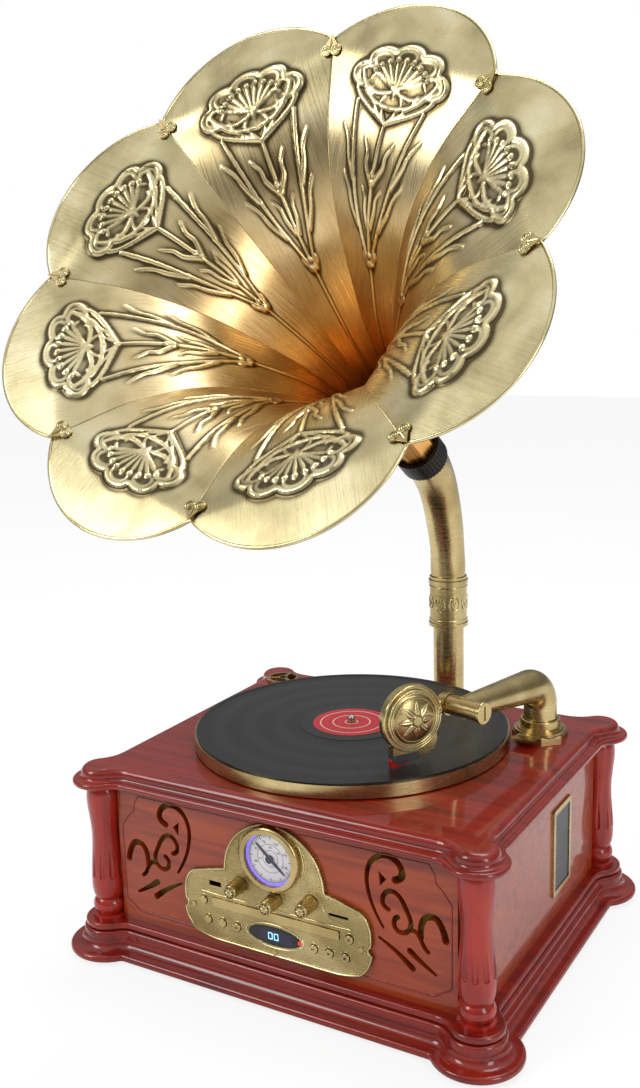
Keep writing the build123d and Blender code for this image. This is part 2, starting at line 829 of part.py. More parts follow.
# Speed lever: ring round the base's step, with a sloping tab towards the front
lever_ring_radius = arm_step_radius + running_gap + lever_ring_wall
lever_plane = Plane(
    origin=(arm_x, arm_y, arm_step_low + seat_gap),
    x_dir=(math.cos(math.radians(lever_direction)), math.sin(math.radians(lever_direction)), 0),
    z_dir=(0, 0, 1),
)
lever_tab_plane = Plane(lever_plane.origin, x_dir=lever_plane.x_dir, z_dir=lever_plane.y_dir)
with BuildPart() as speed_lever:
    with BuildSketch(lever_plane):
        Circle(lever_ring_radius)
        Circle(arm_step_radius + running_gap, mode=Mode.SUBTRACT)
    extrude(amount=lever_ring_height)
    with BuildSketch(lever_tab_plane):
        with BuildLine():
            Polyline(
                (lever_ring_radius - 1.5, 0),
                (lever_ring_radius + 3, 0),
                (lever_ring_radius + 3 + lever_tab_length, lever_tab_drop),
                (lever_ring_radius + 3 + lever_tab_length, lever_tab_drop + lever_tab_thickness),
                (lever_ring_radius + 3, lever_tab_thickness),
                (lever_ring_radius - 1.5, lever_tab_thickness),
                close=True,
            )
        make_face()
        mirror(about=Plane.XZ, mode=Mode.REPLACE)
    extrude(amount=lever_tab_width / 2, both=True)
speed_lever.part.label = "speed_lever"
export_step(speed_lever.part, "parts/speed_lever.step")

# Cross tube frame at the arm's end, local Z along the tube
tube_axis = (math.cos(math.radians(tube_turn)), math.sin(math.radians(tube_turn)), 0)
tube_plane = Plane(origin=(tube_left_x, tube_left_y, tube_z), x_dir=(0, 0, 1), z_dir=tube_axis)
tube_middle_x = tube_left_x + tube_axis[0] * tube_length / 2
tube_middle_y = tube_left_y + tube_axis[1] * tube_length / 2
arm_reach = math.hypot(tube_middle_x - arm_x, tube_middle_y - arm_y)
arm_dir = ((tube_middle_x - arm_x) / arm_reach, (tube_middle_y - arm_y) / arm_reach, 0)
arm_plane = Plane(origin=(arm_x, arm_y, 0), x_dir=arm_dir, z_dir=(arm_dir[1], -arm_dir[0], 0))
bend_to_tube = math.hypot(arm_reach - arm_bend_radius, tube_z - arm_bend_z)
tube_elevation = math.atan2(tube_z - arm_bend_z, arm_reach - arm_bend_radius)
arm_turn = 90 - math.degrees(tube_elevation - math.asin(arm_bend_radius / bend_to_tube))
bend_out = arm_bend_radius * (1 - math.cos(math.radians(arm_turn)))
bend_up = arm_bend_radius * math.sin(math.radians(arm_turn))
arm_foot_z = arm_cup_top - arm_cup_depth + running_gap


arm_side = (arm_dir[1], -arm_dir[0], 0)
taper_start = arm_plane.from_local_coords(Vector(bend_out, arm_bend_z + bend_up))
taper_end = arm_plane.from_local_coords(Vector(arm_reach, tube_z))
taper_axis = taper_end - taper_start

# Tonearm: swan neck, cross tube with its end bead and slotted cap, pivot pin
with BuildPart() as tonearm:
    with BuildSketch(Plane((arm_x, arm_y, arm_foot_z))):
        Circle(arm_stub_radius)
    extrude(amount=arm_bend_z - arm_foot_z)
    with BuildLine(arm_plane) as bend:
        CenterArc((arm_bend_radius, arm_bend_z), arm_bend_radius, 180, -arm_turn)
    with BuildSketch(Plane((arm_x, arm_y, arm_bend_z))):
        Circle(arm_stub_radius)
    sweep(path=bend.line)
    with BuildSketch(Plane(taper_start, x_dir=arm_side, z_dir=taper_axis)):
        Circle(arm_stub_radius)
    with BuildSketch(Plane(taper_end, x_dir=arm_side, z_dir=taper_axis)):
        Circle(arm_tip_radius)
    loft()
    with BuildSketch(tube_plane.offset(tube_neck_length + running_gap)):
        Circle(tube_radius)
    extrude(amount=tube_length - tube_neck_length - running_gap)
    with BuildSketch(tube_plane.offset(tube_length - tube_bead_width)):
        Circle(tube_bead_radius)
    extrude(amount=tube_bead_width)
    fillet(tonearm.faces().sort_by_distance(tube_plane.offset(tube_length).origin)[0].edges(), 1.2)
    with BuildSketch(tube_plane.offset(tube_length)):
        Rectangle(cap_slot_length, cap_slot_width)
    extrude(amount=-cap_slot_depth, mode=Mode.SUBTRACT)
    with BuildSketch(tube_plane.offset(tube_neck_length + running_gap)):
        Circle(neck_pin_radius + running_gap)
    extrude(amount=neck_pin_length, mode=Mode.SUBTRACT)
    with BuildSketch(Plane((arm_x, arm_y, arm_foot_z - arm_pivot_depth))):
        Circle(arm_pivot_radius)
    extrude(amount=arm_pivot_depth)
tonearm.part.label = "tonearm"
export_step(tonearm.part, "parts/tonearm.step")

# Soundbox frame: local X backwards along the disc, local Y up, local Z out of its face
sound_normal = (math.cos(math.radians(sound_turn)), math.sin(math.radians(sound_turn)), 0)
sound_along = (-sound_normal[1], sound_normal[0], 0)
sound_plane = Plane(origin=(sound_x, sound_y, sound_z), x_dir=sound_along, z_dir=sound_normal)
sound_half_plane = Plane(sound_plane.origin, x_dir=sound_along, z_dir=(0, 0, -1))
ring_front = sound_ring_thickness - sound_back
with BuildPart() as soundbox:
    with BuildSketch(sound_half_plane):
        with BuildLine():
            Polyline(
                (0, ring_front + sound_step_height + sound_dome_height),
                (0, -sound_back),
                (sound_radius - 1, -sound_back),
                (sound_radius, 1 - sound_back),
                (sound_radius, ring_front - 1),
                (sound_radius - 1, ring_front),
                (sound_step_radius, ring_front),
                (sound_step_radius, ring_front + sound_step_height),
                (sound_dome_radius, ring_front + sound_step_height),
            )
            ThreePointArc(
                (sound_dome_radius, ring_front + sound_step_height),
                (sound_dome_radius * 0.71, ring_front + sound_step_height + sound_dome_height * 0.66),
                (0, ring_front + sound_step_height + sound_dome_height),
            )
        make_face()
    revolve(axis=Axis(sound_plane.origin, sound_normal))
    with BuildSketch(sound_plane.offset(ring_front + sound_step_height)):
        Circle(sound_boss_radius)
    extrude(amount=sound_dome_height + sound_boss_height)
    with BuildSketch(tube_plane):
        Circle(tube_radius)
    extrude(amount=tube_neck_length)
    with BuildSketch(tube_plane.offset(tube_neck_length - tube_bead_width)):
        Circle(tube_bead_radius)
    extrude(amount=tube_bead_width)
    with BuildSketch(tube_plane.offset(tube_neck_length)):
        Circle(neck_pin_radius)
    extrude(amount=neck_pin_length)
    neck_end = sound_plane.from_local_coords(Vector(sound_radius * 0.7, 0, -1))
    neck_axis = neck_end - tube_plane.offset(tube_neck_length / 3).origin
    with BuildSketch(Plane(tube_plane.offset(tube_neck_length / 3).origin, z_dir=neck_axis)):
        Circle(neck_bridge_radius)
    extrude(amount=neck_axis.length)
    with BuildSketch(sound_plane.offset(-block_half + stylus_side)):
        with Locations(((block_front + block_back) / 2, (block_low + block_high) / 2)):
            Rectangle(block_back - block_front, block_high - block_low)
    extrude(amount=2 * block_half)
soundbox.part.label = "soundbox"
export_step(soundbox.part, "parts/soundbox.step")

# Cartridge with its stylus, hung under the soundbox
cartridge_top = sound_z + block_low
cartridge_low = cartridge_top - cartridge_height
cartridge_plane = sound_plane.offset(stylus_side)
with BuildPart() as cartridge:
    with BuildSketch(cartridge_plane):
        with BuildLine():
            Polyline(
                (block_front, block_low),
                (block_back, block_low),
                (block_back, block_low - cartridge_height),
                (-stylus_out + 7, block_low - cartridge_height),
                (-stylus_out + 2, block_low - cartridge_height - 1.2),
                (-stylus_out - 4, block_low - cartridge_height - 0.6),
                (block_front, block_low - cartridge_height + 3),
                close=True,
            )
        make_face()
    extrude(amount=block_half, both=True)
    stylus_tip = cartridge_plane.from_local_coords(Vector(-stylus_out, 0))
    with Locations((stylus_tip.X, stylus_tip.Y, record_top + stylus_gap)):
        Cone(0.2, stylus_radius, cartridge_low - record_top - stylus_gap + 0.5,
             align=(Align.CENTER, Align.CENTER, Align.MIN))
cartridge.part.label = "cartridge"
export_step(cartridge.part, "parts/cartridge.step")

# Finger lift: crescent fin behind the cartridge, parallel to the soundbox
with BuildPart() as finger_lift:
    with BuildSketch(sound_plane.offset(stylus_side - lift_thickness / 2)):
        with BuildLine():
            lift_foot = (block_back + seat_gap, block_low - cartridge_height)
            lift_root = (block_back + seat_gap, block_high - 0.5)
            lift_tip = (lift_reach, lift_tip_drop)
            lift_heel = (lift_reach - 11, block_low - cartridge_height + 1)
            Line(lift_foot, lift_root)
            ThreePointArc(lift_root, (lift_reach * 0.75, block_high + 0.4), lift_tip)
            ThreePointArc(lift_tip, (lift_reach - 2, block_low - 1), lift_heel)
            Line(lift_heel, lift_foot)
        make_face()
        with Locations((0, 0)):
            Circle(sound_radius + loose_gap, mode=Mode.SUBTRACT)
    extrude(amount=lift_thickness)
finger_lift.part.label = "finger_lift"
export_step(finger_lift.part, "parts/finger_lift.step")

# Adapter for large-hole records, lying in its recess
with BuildPart() as adapter:
    with BuildSketch(Plane((adapter_x, adapter_y, lid_top - adapter_recess_depth))):
        Circle(adapter_radius)
        Circle(adapter_radius - adapter_rim, mode=Mode.SUBTRACT)
        with PolarLocations(0, 3, start_angle=90):
            Rectangle(adapter_radius - adapter_rim / 2, adapter_spoke_width, align=(Align.MIN, Align.CENTER))
        Circle(adapter_hub_radius)
        Circle(spindle_radius + running_gap, mode=Mode.SUBTRACT)
    extrude(amount=adapter_height)
adapter.part.label = "adapter"
export_step(adapter.part, "parts/adapter.step")

# Horn post: tube with a beaded ferrule at its head
with BuildPart() as horn_post:
    with BuildSketch(Plane((0, post_y, post_low))):
        Circle(post_radius)
    extrude(amount=post_high - post_low)
    with BuildSketch(Plane((0, post_y, ferrule_low))):
        Circle(ferrule_radius)
    extrude(amount=post_high - ferrule_low)
    for bead_low in (ferrule_low, post_high - ferrule_bead_width):
        with BuildSketch(Plane((0, post_y, bead_low))):
            Circle(ferrule_bead_radius)
        extrude(amount=ferrule_bead_width)
    with BuildSketch(Plane((0, post_y, post_low))):
        Circle(post_bore_radius)
    extrude(amount=post_high - post_low, mode=Mode.SUBTRACT)
horn_post.part.label = "horn_post"
export_step(horn_post.part, "parts/horn_post.step")

# Bracket on the back panel: plate, two arms with rings, floor under the post
bracket_ring_radius = post_radius + seat_gap + bracket_ring_wall
with BuildPart() as horn_bracket:
    with BuildSketch(back_plane):
        with Locations((0, post_low - bracket_floor)):
            Rectangle(bracket_width, bracket_height, align=(Align.CENTER, Align.MIN))
    extrude(amount=bracket_plate)
    for ring_z in (post_low - bracket_floor, post_low - bracket_floor + bracket_height - bracket_ring_height):
        with BuildSketch(Plane((0, post_y, ring_z))):
            Circle(bracket_ring_radius)
            Rectangle(bracket_arm_width, post_y - column_y, align=(Align.CENTER, Align.MAX))
        extrude(amount=bracket_ring_height)
    with BuildSketch(Plane((0, post_y, post_low))):
        Circle(post_radius + seat_gap)
    extrude(amount=bracket_height, mode=Mode.SUBTRACT)
    with BuildSketch(back_plane.offset(bracket_plate)):
        with Locations((0, post_low - bracket_floor + bracket_height / 2)):
            with GridLocations(bracket_width - 14, bracket_height - 14, 2, 2):
                Circle(bracket_screw_radius)
    extrude(amount=1.6)
horn_bracket.part.label = "horn_bracket"
export_step(horn_bracket.part, "parts/horn_bracket.step")

# Path of the elbow from the post to the horn's axis
elbow_low = post_high + elbow_gap
elbow_turn = 90 - horn_tilt
horn_axis = (0, -math.cos(math.radians(horn_tilt)), math.sin(math.radians(horn_tilt)))


def elbow_point(angle):
    """Centre of the elbow's section where its path has turned by the angle, in the Y-Z plane."""
    first = min(angle, elbow_first_angle)
    back = elbow_first_radius * (1 - math.cos(math.radians(first)))
    rise = elbow_first_radius * math.sin(math.radians(first))
    if angle > first:
        back += elbow_second_radius * (math.cos(math.radians(first)) - math.cos(math.radians(angle)))
        rise += elbow_second_radius * (math.sin(math.radians(angle)) - math.sin(math.radians(first)))
    return (0, post_y - back, elbow_low + elbow_flange_height / 2 + rise)


def elbow_solid(inset):
    """Widening tube along the elbow's two arcs."""
    with BuildPart() as tube:
        for i in range(elbow_stations):
            share = i / (elbow_stations - 1)
            angle = elbow_turn * share
            swing = math.radians(angle)
            along = (0, -math.sin(swing), math.cos(swing))
            with BuildSketch(Plane(elbow_point(angle), x_dir=(1, 0, 0), z_dir=along)):
                Circle(elbow_foot_radius + (elbow_end_radius - elbow_foot_radius) * share - inset)
        loft()
    return tube.part


elbow_outside = elbow_solid(0)
elbow_inside = elbow_solid(elbow_wall)
elbow_end = elbow_point(elbow_turn)
horn_mouth = tuple(elbow_end[i] + horn_depth * horn_axis[i] for i in range(3))
horn_plane = Plane(origin=horn_mouth, x_dir=(1, 0, 0), z_dir=horn_axis)

# Elbow: flange and spigot at its foot, open through
with BuildPart() as horn_elbow:
    add(elbow_outside)
    with BuildSketch(Plane((0, post_y, elbow_low))):
        Circle(elbow_flange_radius)
    extrude(amount=elbow_flange_height)
    add(elbow_inside, mode=Mode.SUBTRACT)
    with BuildSketch(Plane((0, post_y, elbow_low - elbow_spigot_length))):
        Circle(elbow_spigot_radius)
    extrude(amount=elbow_spigot_length + elbow_flange_height)
    with BuildSketch(Plane((0, post_y, elbow_low - elbow_spigot_length))):
        Circle(elbow_spigot_radius - elbow_wall)
    extrude(amount=elbow_spigot_length + elbow_flange_height + 1, mode=Mode.SUBTRACT)
horn_elbow.part.label = "horn_elbow"
export_step(horn_elbow.part, "parts/horn_elbow.step")

# Collar that joins elbow and horn, ribbed for grip
with BuildPart() as horn_collar:
    with BuildSketch(horn_plane.offset(-horn_depth)):
        Circle(horn_collar_radius)
        with PolarLocations(horn_collar_radius, horn_collar_ribs):
            Circle(0.7, mode=Mode.SUBTRACT)
    extrude(amount=horn_collar_length)
    with BuildSketch(horn_plane.offset(-horn_depth)):
        Circle(throat_radius + petal_thickness + loose_gap)
    extrude(amount=horn_collar_length, mode=Mode.SUBTRACT)
horn_collar.part.label = "horn_collar"
export_step(horn_collar.part, "parts/horn_collar.step")

# One petal: a curved strip across its middle plane, cut to its wedge and round lobe, with a rim wire
half_petal = 180 / petal_count
petal_share = math.cos(math.radians(half_petal))
petal_plane = Plane(origin=(0, 0, 0), x_dir=(1, 0, 0), z_dir=(0, -1, 0))
petal_points = [(radius * petal_share, rise) for rise, radius in seam_curve]
petal_foot = (throat_radius * petal_share, seam_curve[0][0] - 10)
lobe_start = petal_points[-1]
lobe_slope = math.degrees(math.atan2(lobe_tip_rise, lobe_offset + lobe_radius - lobe_start[0]))
lobe_pitch = math.tan(math.radians(lobe_slope))
lobe_end = (lobe_tip_radius, lobe_start[1] + (lobe_tip_radius - lobe_start[0]) * lobe_pitch)
lobe_direction = (math.cos(math.radians(lobe_slope)), math.sin(math.radians(lobe_slope)))
wire_sweep = math.degrees(math.asin(lobe_start[0] * math.tan(math.radians(half_petal)) / lobe_radius)) + 4
wire_centre = (lobe_offset, 0, lobe_start[1] + (lobe_offset - lobe_start[0]) * lobe_pitch)
wire_plane = Plane(wire_centre, x_dir=(lobe_direction[0], 0, lobe_direction[1]),
                   z_dir=(-lobe_direction[1], 0, lobe_direction[0]))
with BuildPart() as petal:
    with BuildSketch(petal_plane):
        with BuildLine():
            petal_curve = Spline(petal_foot, *petal_points, tangents=((0, 1), lobe_direction))
            Line(petal_curve @ 1, lobe_end)
        trace(line_width=petal_thickness)
    extrude(amount=lobe_radius * 1.2, both=True)
    with BuildSketch(Plane.XY.offset(-horn_depth)):
        Rectangle(lobe_offset, 4 * lobe_radius, align=(Align.MIN, Align.CENTER))
        with Locations((lobe_offset, 0)):
            Circle(lobe_radius)
    extrude(amount=2 * horn_depth, mode=Mode.INTERSECT)
    with BuildLine(wire_plane) as wire_line:
        CenterArc((0, 0), lobe_radius, -wire_sweep, 2 * wire_sweep)
    with BuildSketch(Plane(wire_line.line @ 0, z_dir=wire_line.line % 0)):
        Circle(rim_wire_radius)
    sweep(path=wire_line.line)
    wedge_shift = petal_seam / 2 / math.sin(math.radians(half_petal))
    with BuildSketch(Plane.XY.offset(-horn_depth)):
        with BuildLine():
            wedge_reach = 2 * lobe_tip_radius
            Polyline(
                (wedge_shift, 0),
                (wedge_shift + wedge_reach, wedge_reach * math.tan(math.radians(half_petal))),
                (wedge_shift + wedge_reach, -wedge_reach * math.tan(math.radians(half_petal))),
                close=True,
            )
        make_face()
    extrude(amount=2 * horn_depth, mode=Mode.INTERSECT)

# Eight petals round the horn's axis
with BuildPart(horn_plane) as horn_petals:
    with PolarLocations(0, petal_count, start_angle=horn_turn):
        add(petal.part)
horn_petals.part.label = "horn_petals"
export_step(horn_petals.part, "parts/horn_petals.step")

# Heart-shaped clips across the seams near the rim
seam_low = seam_curve[-2]
seam_high = seam_curve[-1]
seam_slope = math.atan2(seam_high[0] - seam_low[0], seam_high[1] - seam_low[1])
clip_rise = seam_high[0] - (seam_high[1] - clip_radius) * math.tan(seam_slope)
clip_lift = petal_thickness / 2 + running_gap + clip_crease
clip_plane = Plane(
    (clip_radius - clip_lift * math.sin(seam_slope), 0, clip_rise + clip_lift * math.cos(seam_slope)),
    x_dir=(math.cos(seam_slope), 0, math.sin(seam_slope)),
    z_dir=(-math.sin(seam_slope), 0, math.cos(seam_slope)),
)
with BuildPart() as heart_clip:
    with BuildSketch(clip_plane):
        with Locations((-clip_size * 0.35, clip_size * 0.5), (-clip_size * 0.35, -clip_size * 0.5)):
            Circle(clip_size * 0.56)
        with BuildLine():
            Polyline(
                (-clip_size * 0.5, clip_size * 1.04),
                (clip_size * 1.2, 0),
                (-clip_size * 0.5, -clip_size * 1.04),
                close=True,
            )
        make_face()
    extrude(amount=clip_thickness)
with BuildPart(horn_plane) as heart_clips:
    with PolarLocations(0, petal_count, start_angle=horn_turn + half_petal):
        add(heart_clip.part)
heart_clips.part.label = "heart_clips"
export_step(heart_clips.part, "parts/heart_clips.step")


def plate_outline():
    """Outline of the control plate: arch over the dial, wings, notches beside the side screws."""
    with BuildSketch() as outline:
        with BuildLine():
            arch = CenterArc((0, arch_z), arch_radius, 0, 90)
            Spline(arch @ 0, (57, 112), (72, 108.3), (86, 104.5))
            Spline((86, 104.5), (93.2, 96), (96, 81), (95.4, 74))
            ThreePointArc((95.4, 74), (93.2, 70.6), (96.5, 67))
            Spline((96.5, 67), (94, 57), (85, 45.5))
            Spline((85, 45.5), (71, 41.8), (54, plate_low))
            Line((54, plate_low), (0, plate_low))
            mirror(about=Plane.YZ)
        make_face()
    return outline.sketch


plate_face = plate_outline()

# Control plate with holes for everything that comes through it
with BuildPart() as control_plate:
    with BuildSketch(front_plane):
        add(plate_face)
        with Locations(*zip(knob_x, knob_z)):
            Circle(pot_shaft_radius + loose_gap, mode=Mode.SUBTRACT)
        with Locations((dial_x, dial_z)):
            Circle(pointer_shaft_radius + loose_gap, mode=Mode.SUBTRACT)
        with Locations(*zip(button_x, button_z)):
            Circle(button_radius + running_gap, mode=Mode.SUBTRACT)
        with Locations(*zip(screw_x, screw_z)):
            Circle(screw_shank_radius + seat_gap, mode=Mode.SUBTRACT)
        with Locations((0, (tray_low + tray_high) / 2)):
            Rectangle(2 * (tray_half_width + running_gap), tray_high - tray_low + 2 * running_gap,
                      mode=Mode.SUBTRACT)
        with Locations((display_x, display_z)):
            Ellipse(display_width / 2 + seat_gap, display_height / 2 + seat_gap, mode=Mode.SUBTRACT)
        with Locations((usb_x, socket_z)):
            Rectangle(usb_width, usb_height, mode=Mode.SUBTRACT)
        with Locations((card_x, socket_z)):
            Rectangle(card_width, card_height, mode=Mode.SUBTRACT)
    extrude(amount=plate_thickness)
control_plate.part.label = "control_plate"
export_step(control_plate.part, "parts/control_plate.step")

# Dial: rim, face, glass and pointer
face_plane = plate_plane.offset(dial_face_thickness)
glass_low = bezel_depth - bezel_lip - dial_glass_thickness
with BuildPart() as dial_rim:
    with BuildSketch(plate_plane):
        with Locations((dial_x, dial_z)):
            Circle(bezel_radius)
            Circle(bezel_radius - bezel_wall, mode=Mode.SUBTRACT)
    extrude(amount=bezel_depth)
    fillet(dial_rim.faces().sort_by(Axis.Y)[0].edges().sort_by(SortBy.LENGTH)[-1], bezel_wall * 0.6)
    with BuildSketch(plate_plane.offset(bezel_depth - bezel_lip)):
        with Locations((dial_x, dial_z)):
            Circle(bezel_radius - bezel_wall)
            Circle(bezel_radius - bezel_wall - 1, mode=Mode.SUBTRACT)
    extrude(amount=bezel_lip)
dial_rim.part.label = "dial_rim"
export_step(dial_rim.part, "parts/dial_rim.step")

with BuildPart() as dial_face:
    with BuildSketch(plate_plane):
        with Locations((dial_x, dial_z)):
            Circle(bezel_radius - bezel_wall - seat_gap)
            Circle(pointer_shaft_radius + running_gap, mode=Mode.SUBTRACT)
    extrude(amount=dial_face_thickness)
dial_face.part.label = "dial_face"
export_step(dial_face.part, "parts/dial_face.step")

with BuildPart() as dial_glass:
    with BuildSketch(plate_plane.offset(glass_low)):
        with Locations((dial_x, dial_z)):
            Circle(bezel_radius - bezel_wall - seat_gap)
    extrude(amount=dial_glass_thickness)
dial_glass.part.label = "dial_glass"
export_step(dial_glass.part, "parts/dial_glass.step")

with BuildPart() as dial_pointer:
    with BuildSketch(face_plane.offset(running_gap)):
        with Locations((dial_x, dial_z)):
            Circle(pointer_hub_radius)
            Ellipse(pointer_length / 2, pointer_width / 2, rotation=pointer_turn)
    extrude(amount=pointer_thickness)
    with BuildSketch(face_plane.offset(running_gap)):
        with Locations((dial_x, dial_z)):
            Circle(pointer_hub_radius)
    extrude(amount=glass_low - dial_face_thickness - 3 * running_gap)
    with BuildSketch(face_plane.offset(running_gap)):
        with Locations((dial_x, dial_z)):
            Circle(pointer_shaft_radius)
    extrude(amount=-(dial_face_thickness + plate_thickness + running_gap + 3))
dial_pointer.part.label = "dial_pointer"
export_step(dial_pointer.part, "parts/dial_pointer.step")

# Three fluted knobs on their shafts
for name, x, z in zip(knob_names, knob_x, knob_z):
    with BuildPart() as knob:
        with BuildSketch(plate_plane.offset(loose_gap)):
            with Locations((x, z)):
                Circle(knob_base_radius)
        with BuildSketch(plate_plane.offset(loose_gap + knob_length)):
            with Locations((x, z)):
                Circle(knob_front_radius)
        loft()
        fillet(knob.faces().sort_by(Axis.Y)[0].edges(), 1)
        with BuildSketch(plate_plane.offset(loose_gap + 2.5)):
            with Locations((x, z)):
                with PolarLocations(knob_base_radius + 0.1, knob_flutes):
                    Circle(0.8)
        extrude(amount=knob_length, mode=Mode.SUBTRACT)
        with BuildSketch(plate_plane.offset(loose_gap)):
            with Locations((x, z)):
                Circle(pot_shaft_radius + seat_gap)
        extrude(amount=pot_shaft_length, mode=Mode.SUBTRACT)
    knob.part.label = name
    export_step(knob.part, f"parts/{name}.step")

with BuildPart() as control_pots:
    with BuildSketch(front_plane):
        with Locations(*zip(knob_x, knob_z)):
            Circle(pot_radius)
    extrude(amount=-pot_depth)
    with BuildSketch(front_plane):
        with Locations(*zip(knob_x, knob_z)):
            Circle(pot_shaft_radius)
    extrude(amount=plate_thickness + loose_gap + pot_shaft_length - running_gap)
control_pots.part.label = "control_pots"
export_step(control_pots.part, "parts/control_pots.step")

# Oval display window, flanged behind the plate
with BuildPart() as display_window:
    with BuildSketch(front_plane):
        with Locations((display_x, display_z)):
            Ellipse(display_width / 2, display_height / 2)
    extrude(amount=plate_thickness + display_proud)
    with BuildSketch(front_plane):
        with Locations((display_x, display_z)):
            Ellipse(display_width / 2 + 1.5, display_height / 2 + 1.5)
    extrude(amount=-display_flange)
display_window.part.label = "display_window"
export_step(display_window.part, "parts/display_window.step")

# Push buttons: cap through the plate, flange behind it, stem towards its switch
for name, x, z in zip(button_names, button_x, button_z):
    with BuildPart() as button:
        with BuildSketch(front_plane.offset(-running_gap)):
            with Locations((x, z)):
                Circle(button_radius)
        extrude(amount=running_gap + plate_thickness + button_proud)
        fillet(button.faces().sort_by(Axis.Y)[0].edges(), 0.9)
        with BuildSketch(front_plane.offset(-running_gap)):
            with Locations((x, z)):
                Circle(button_radius + button_flange)
        extrude(amount=-button_flange_thickness)
        with BuildSketch(front_plane.offset(-running_gap)):
            with Locations((x, z)):
                Circle(button_stem_radius)
        extrude(amount=-button_stem_length)
    button.part.label = name
    export_step(button.part, f"parts/{name}.step")

# Round-head screws that hold the plate
with BuildPart() as plate_screws:
    with BuildSketch(plate_plane):
        with Locations(*zip(screw_x, screw_z)):
            Circle(screw_head_radius)
    extrude(amount=screw_head_height)
    fillet(plate_screws.faces().filter_by(Axis.Y).group_by(Axis.Y)[0].edges(), screw_head_height * 0.6)
    with BuildSketch(plate_plane):
        with Locations(*zip(screw_x, screw_z)):
            Circle(screw_shank_radius)
    extrude(amount=-screw_length)
plate_screws.part.label = "plate_screws"
export_step(plate_screws.part, "parts/plate_screws.step")

# Disc tray: front bar and sliding tray
tray_front_plane = plate_plane.offset(tray_front_proud)
tray_start = plate_thickness + tray_front_proud - tray_front_thickness
tray_plane = front_plane.offset(tray_start)
tray_z = (tray_low + tray_high) / 2 - tray_thickness / 2
with BuildPart() as tray_front:
    with BuildSketch(tray_front_plane):
        with Locations((0, (tray_low + tray_high) / 2)):
            RectangleRounded(2 * tray_half_width, tray_high - tray_low, 1.5)
    extrude(amount=-tray_front_thickness)
tray_front.part.label = "tray_front"
export_step(tray_front.part, "parts/tray_front.step")

tray_half = tray_half_width - tray_side_inset
disc_y = -column_y - tray_start + tray_disc_margin + tray_disc_radius
with BuildPart() as cd_tray:
    with BuildSketch(tray_plane):
        with Locations((0, tray_z)):
            Rectangle(2 * tray_half, tray_thickness, align=(Align.CENTER, Align.MIN))
    extrude(amount=-tray_length)
    with BuildSketch(Plane((0, disc_y, tray_z + tray_thickness))):
        Circle(tray_disc_radius)
    extrude(amount=-tray_disc_depth, mode=Mode.SUBTRACT)
    with BuildSketch(Plane((0, disc_y, tray_z))):
        Circle(tray_hub_radius)
    extrude(amount=tray_thickness, mode=Mode.SUBTRACT)
cd_tray.part.label = "cd_tray"
export_step(cd_tray.part, "parts/cd_tray.step")

# Disc drive: open-fronted case with rails that the tray rides in
drive_low = tray_z - running_gap - drive_wall
drive_half = tray_half + running_gap + drive_wall
drive_length = tray_length - panel_thickness - tray_start + drive_back_gap + drive_wall
with BuildPart() as disc_drive:
    with BuildSketch(panel_back_plane):
        with Locations((0, drive_low)):
            Rectangle(2 * drive_half, drive_top - drive_low, align=(Align.CENTER, Align.MIN))
    extrude(amount=-drive_length)
    with BuildSketch(panel_back_plane):
        with Locations((0, drive_low + drive_wall)):
            Rectangle(2 * (drive_half - drive_wall), drive_top - drive_low - 2 * drive_wall,
                      align=(Align.CENTER, Align.MIN))
    extrude(amount=-(drive_length - drive_wall), mode=Mode.SUBTRACT)
    for sign in (-1, 1):
        with BuildSketch(panel_back_plane.offset(-circuit_thickness - seat_gap)):
            with Locations((sign * (drive_half - drive_wall), drive_low)):
                Rectangle(drive_ear, drive_wall, align=(Align.MIN if sign > 0 else Align.MAX, Align.MIN))
        extrude(amount=-2 * panel_thickness)
disc_drive.part.label = "disc_drive"
export_step(disc_drive.part, "parts/disc_drive.step")

# Storage sockets behind their openings in the plate
with BuildPart() as media_sockets:
    for x, width, height in ((usb_x, usb_width, usb_height), (card_x, card_width, card_height)):
        with BuildSketch(front_plane):
            with Locations((x, socket_z)):
                Rectangle(width + 2 * socket_wall, height + 2 * socket_wall)
        extrude(amount=-socket_depth)
        with BuildSketch(front_plane):
            with Locations((x, socket_z)):
                Rectangle(width, height)
        extrude(amount=-(socket_depth - socket_wall), mode=Mode.SUBTRACT)
    with BuildSketch(front_plane):
        with Locations((usb_x, socket_z + usb_height / 2)):
            Rectangle(usb_width, usb_height * 0.4, align=(Align.CENTER, Align.MAX))
    extrude(amount=-(socket_depth - socket_wall), mode=Mode.ADD)
media_sockets.part.label = "media_sockets"
export_step(media_sockets.part, "parts/media_sockets.step")

# Circuit board behind the buttons, screwed to the back of the front panel
with BuildPart() as circuit_board:
    with BuildSketch(panel_back_plane):
        with Locations((0, circuit_low)):
            Rectangle(2 * circuit_half, circuit_high - circuit_low, align=(Align.CENTER, Align.MIN))
        for sign in (-1, 1):
            with Locations((sign * circuit_wing, circuit_low)):
                Rectangle(circuit_half - circuit_wing, circuit_wing_high - circuit_low, align=(
                    Align.MIN if sign > 0 else Align.MAX, Align.MIN))
    extrude(amount=-circuit_thickness)
    with BuildSketch(panel_back_plane):
        with Locations(*zip(button_x, button_z)):
            Circle(switch_radius)
    extrude(amount=switch_height)
circuit_board.part.label = "circuit_board"
export_step(circuit_board.part, "parts/circuit_board.step")

# Gauze behind the scroll cut-outs
with BuildPart() as speaker_mesh:
    with BuildSketch(panel_back_plane):
        for sign in (-1, 1):
            with Locations((sign * (mesh_inner_x + mesh_outer_x) / 2, (mesh_low + mesh_high) / 2)):
                Rectangle(mesh_outer_x - mesh_inner_x, mesh_high - mesh_low)
    extrude(amount=-mesh_thickness)
speaker_mesh.part.label = "speaker_mesh"
export_step(speaker_mesh.part, "parts/speaker_mesh.step")

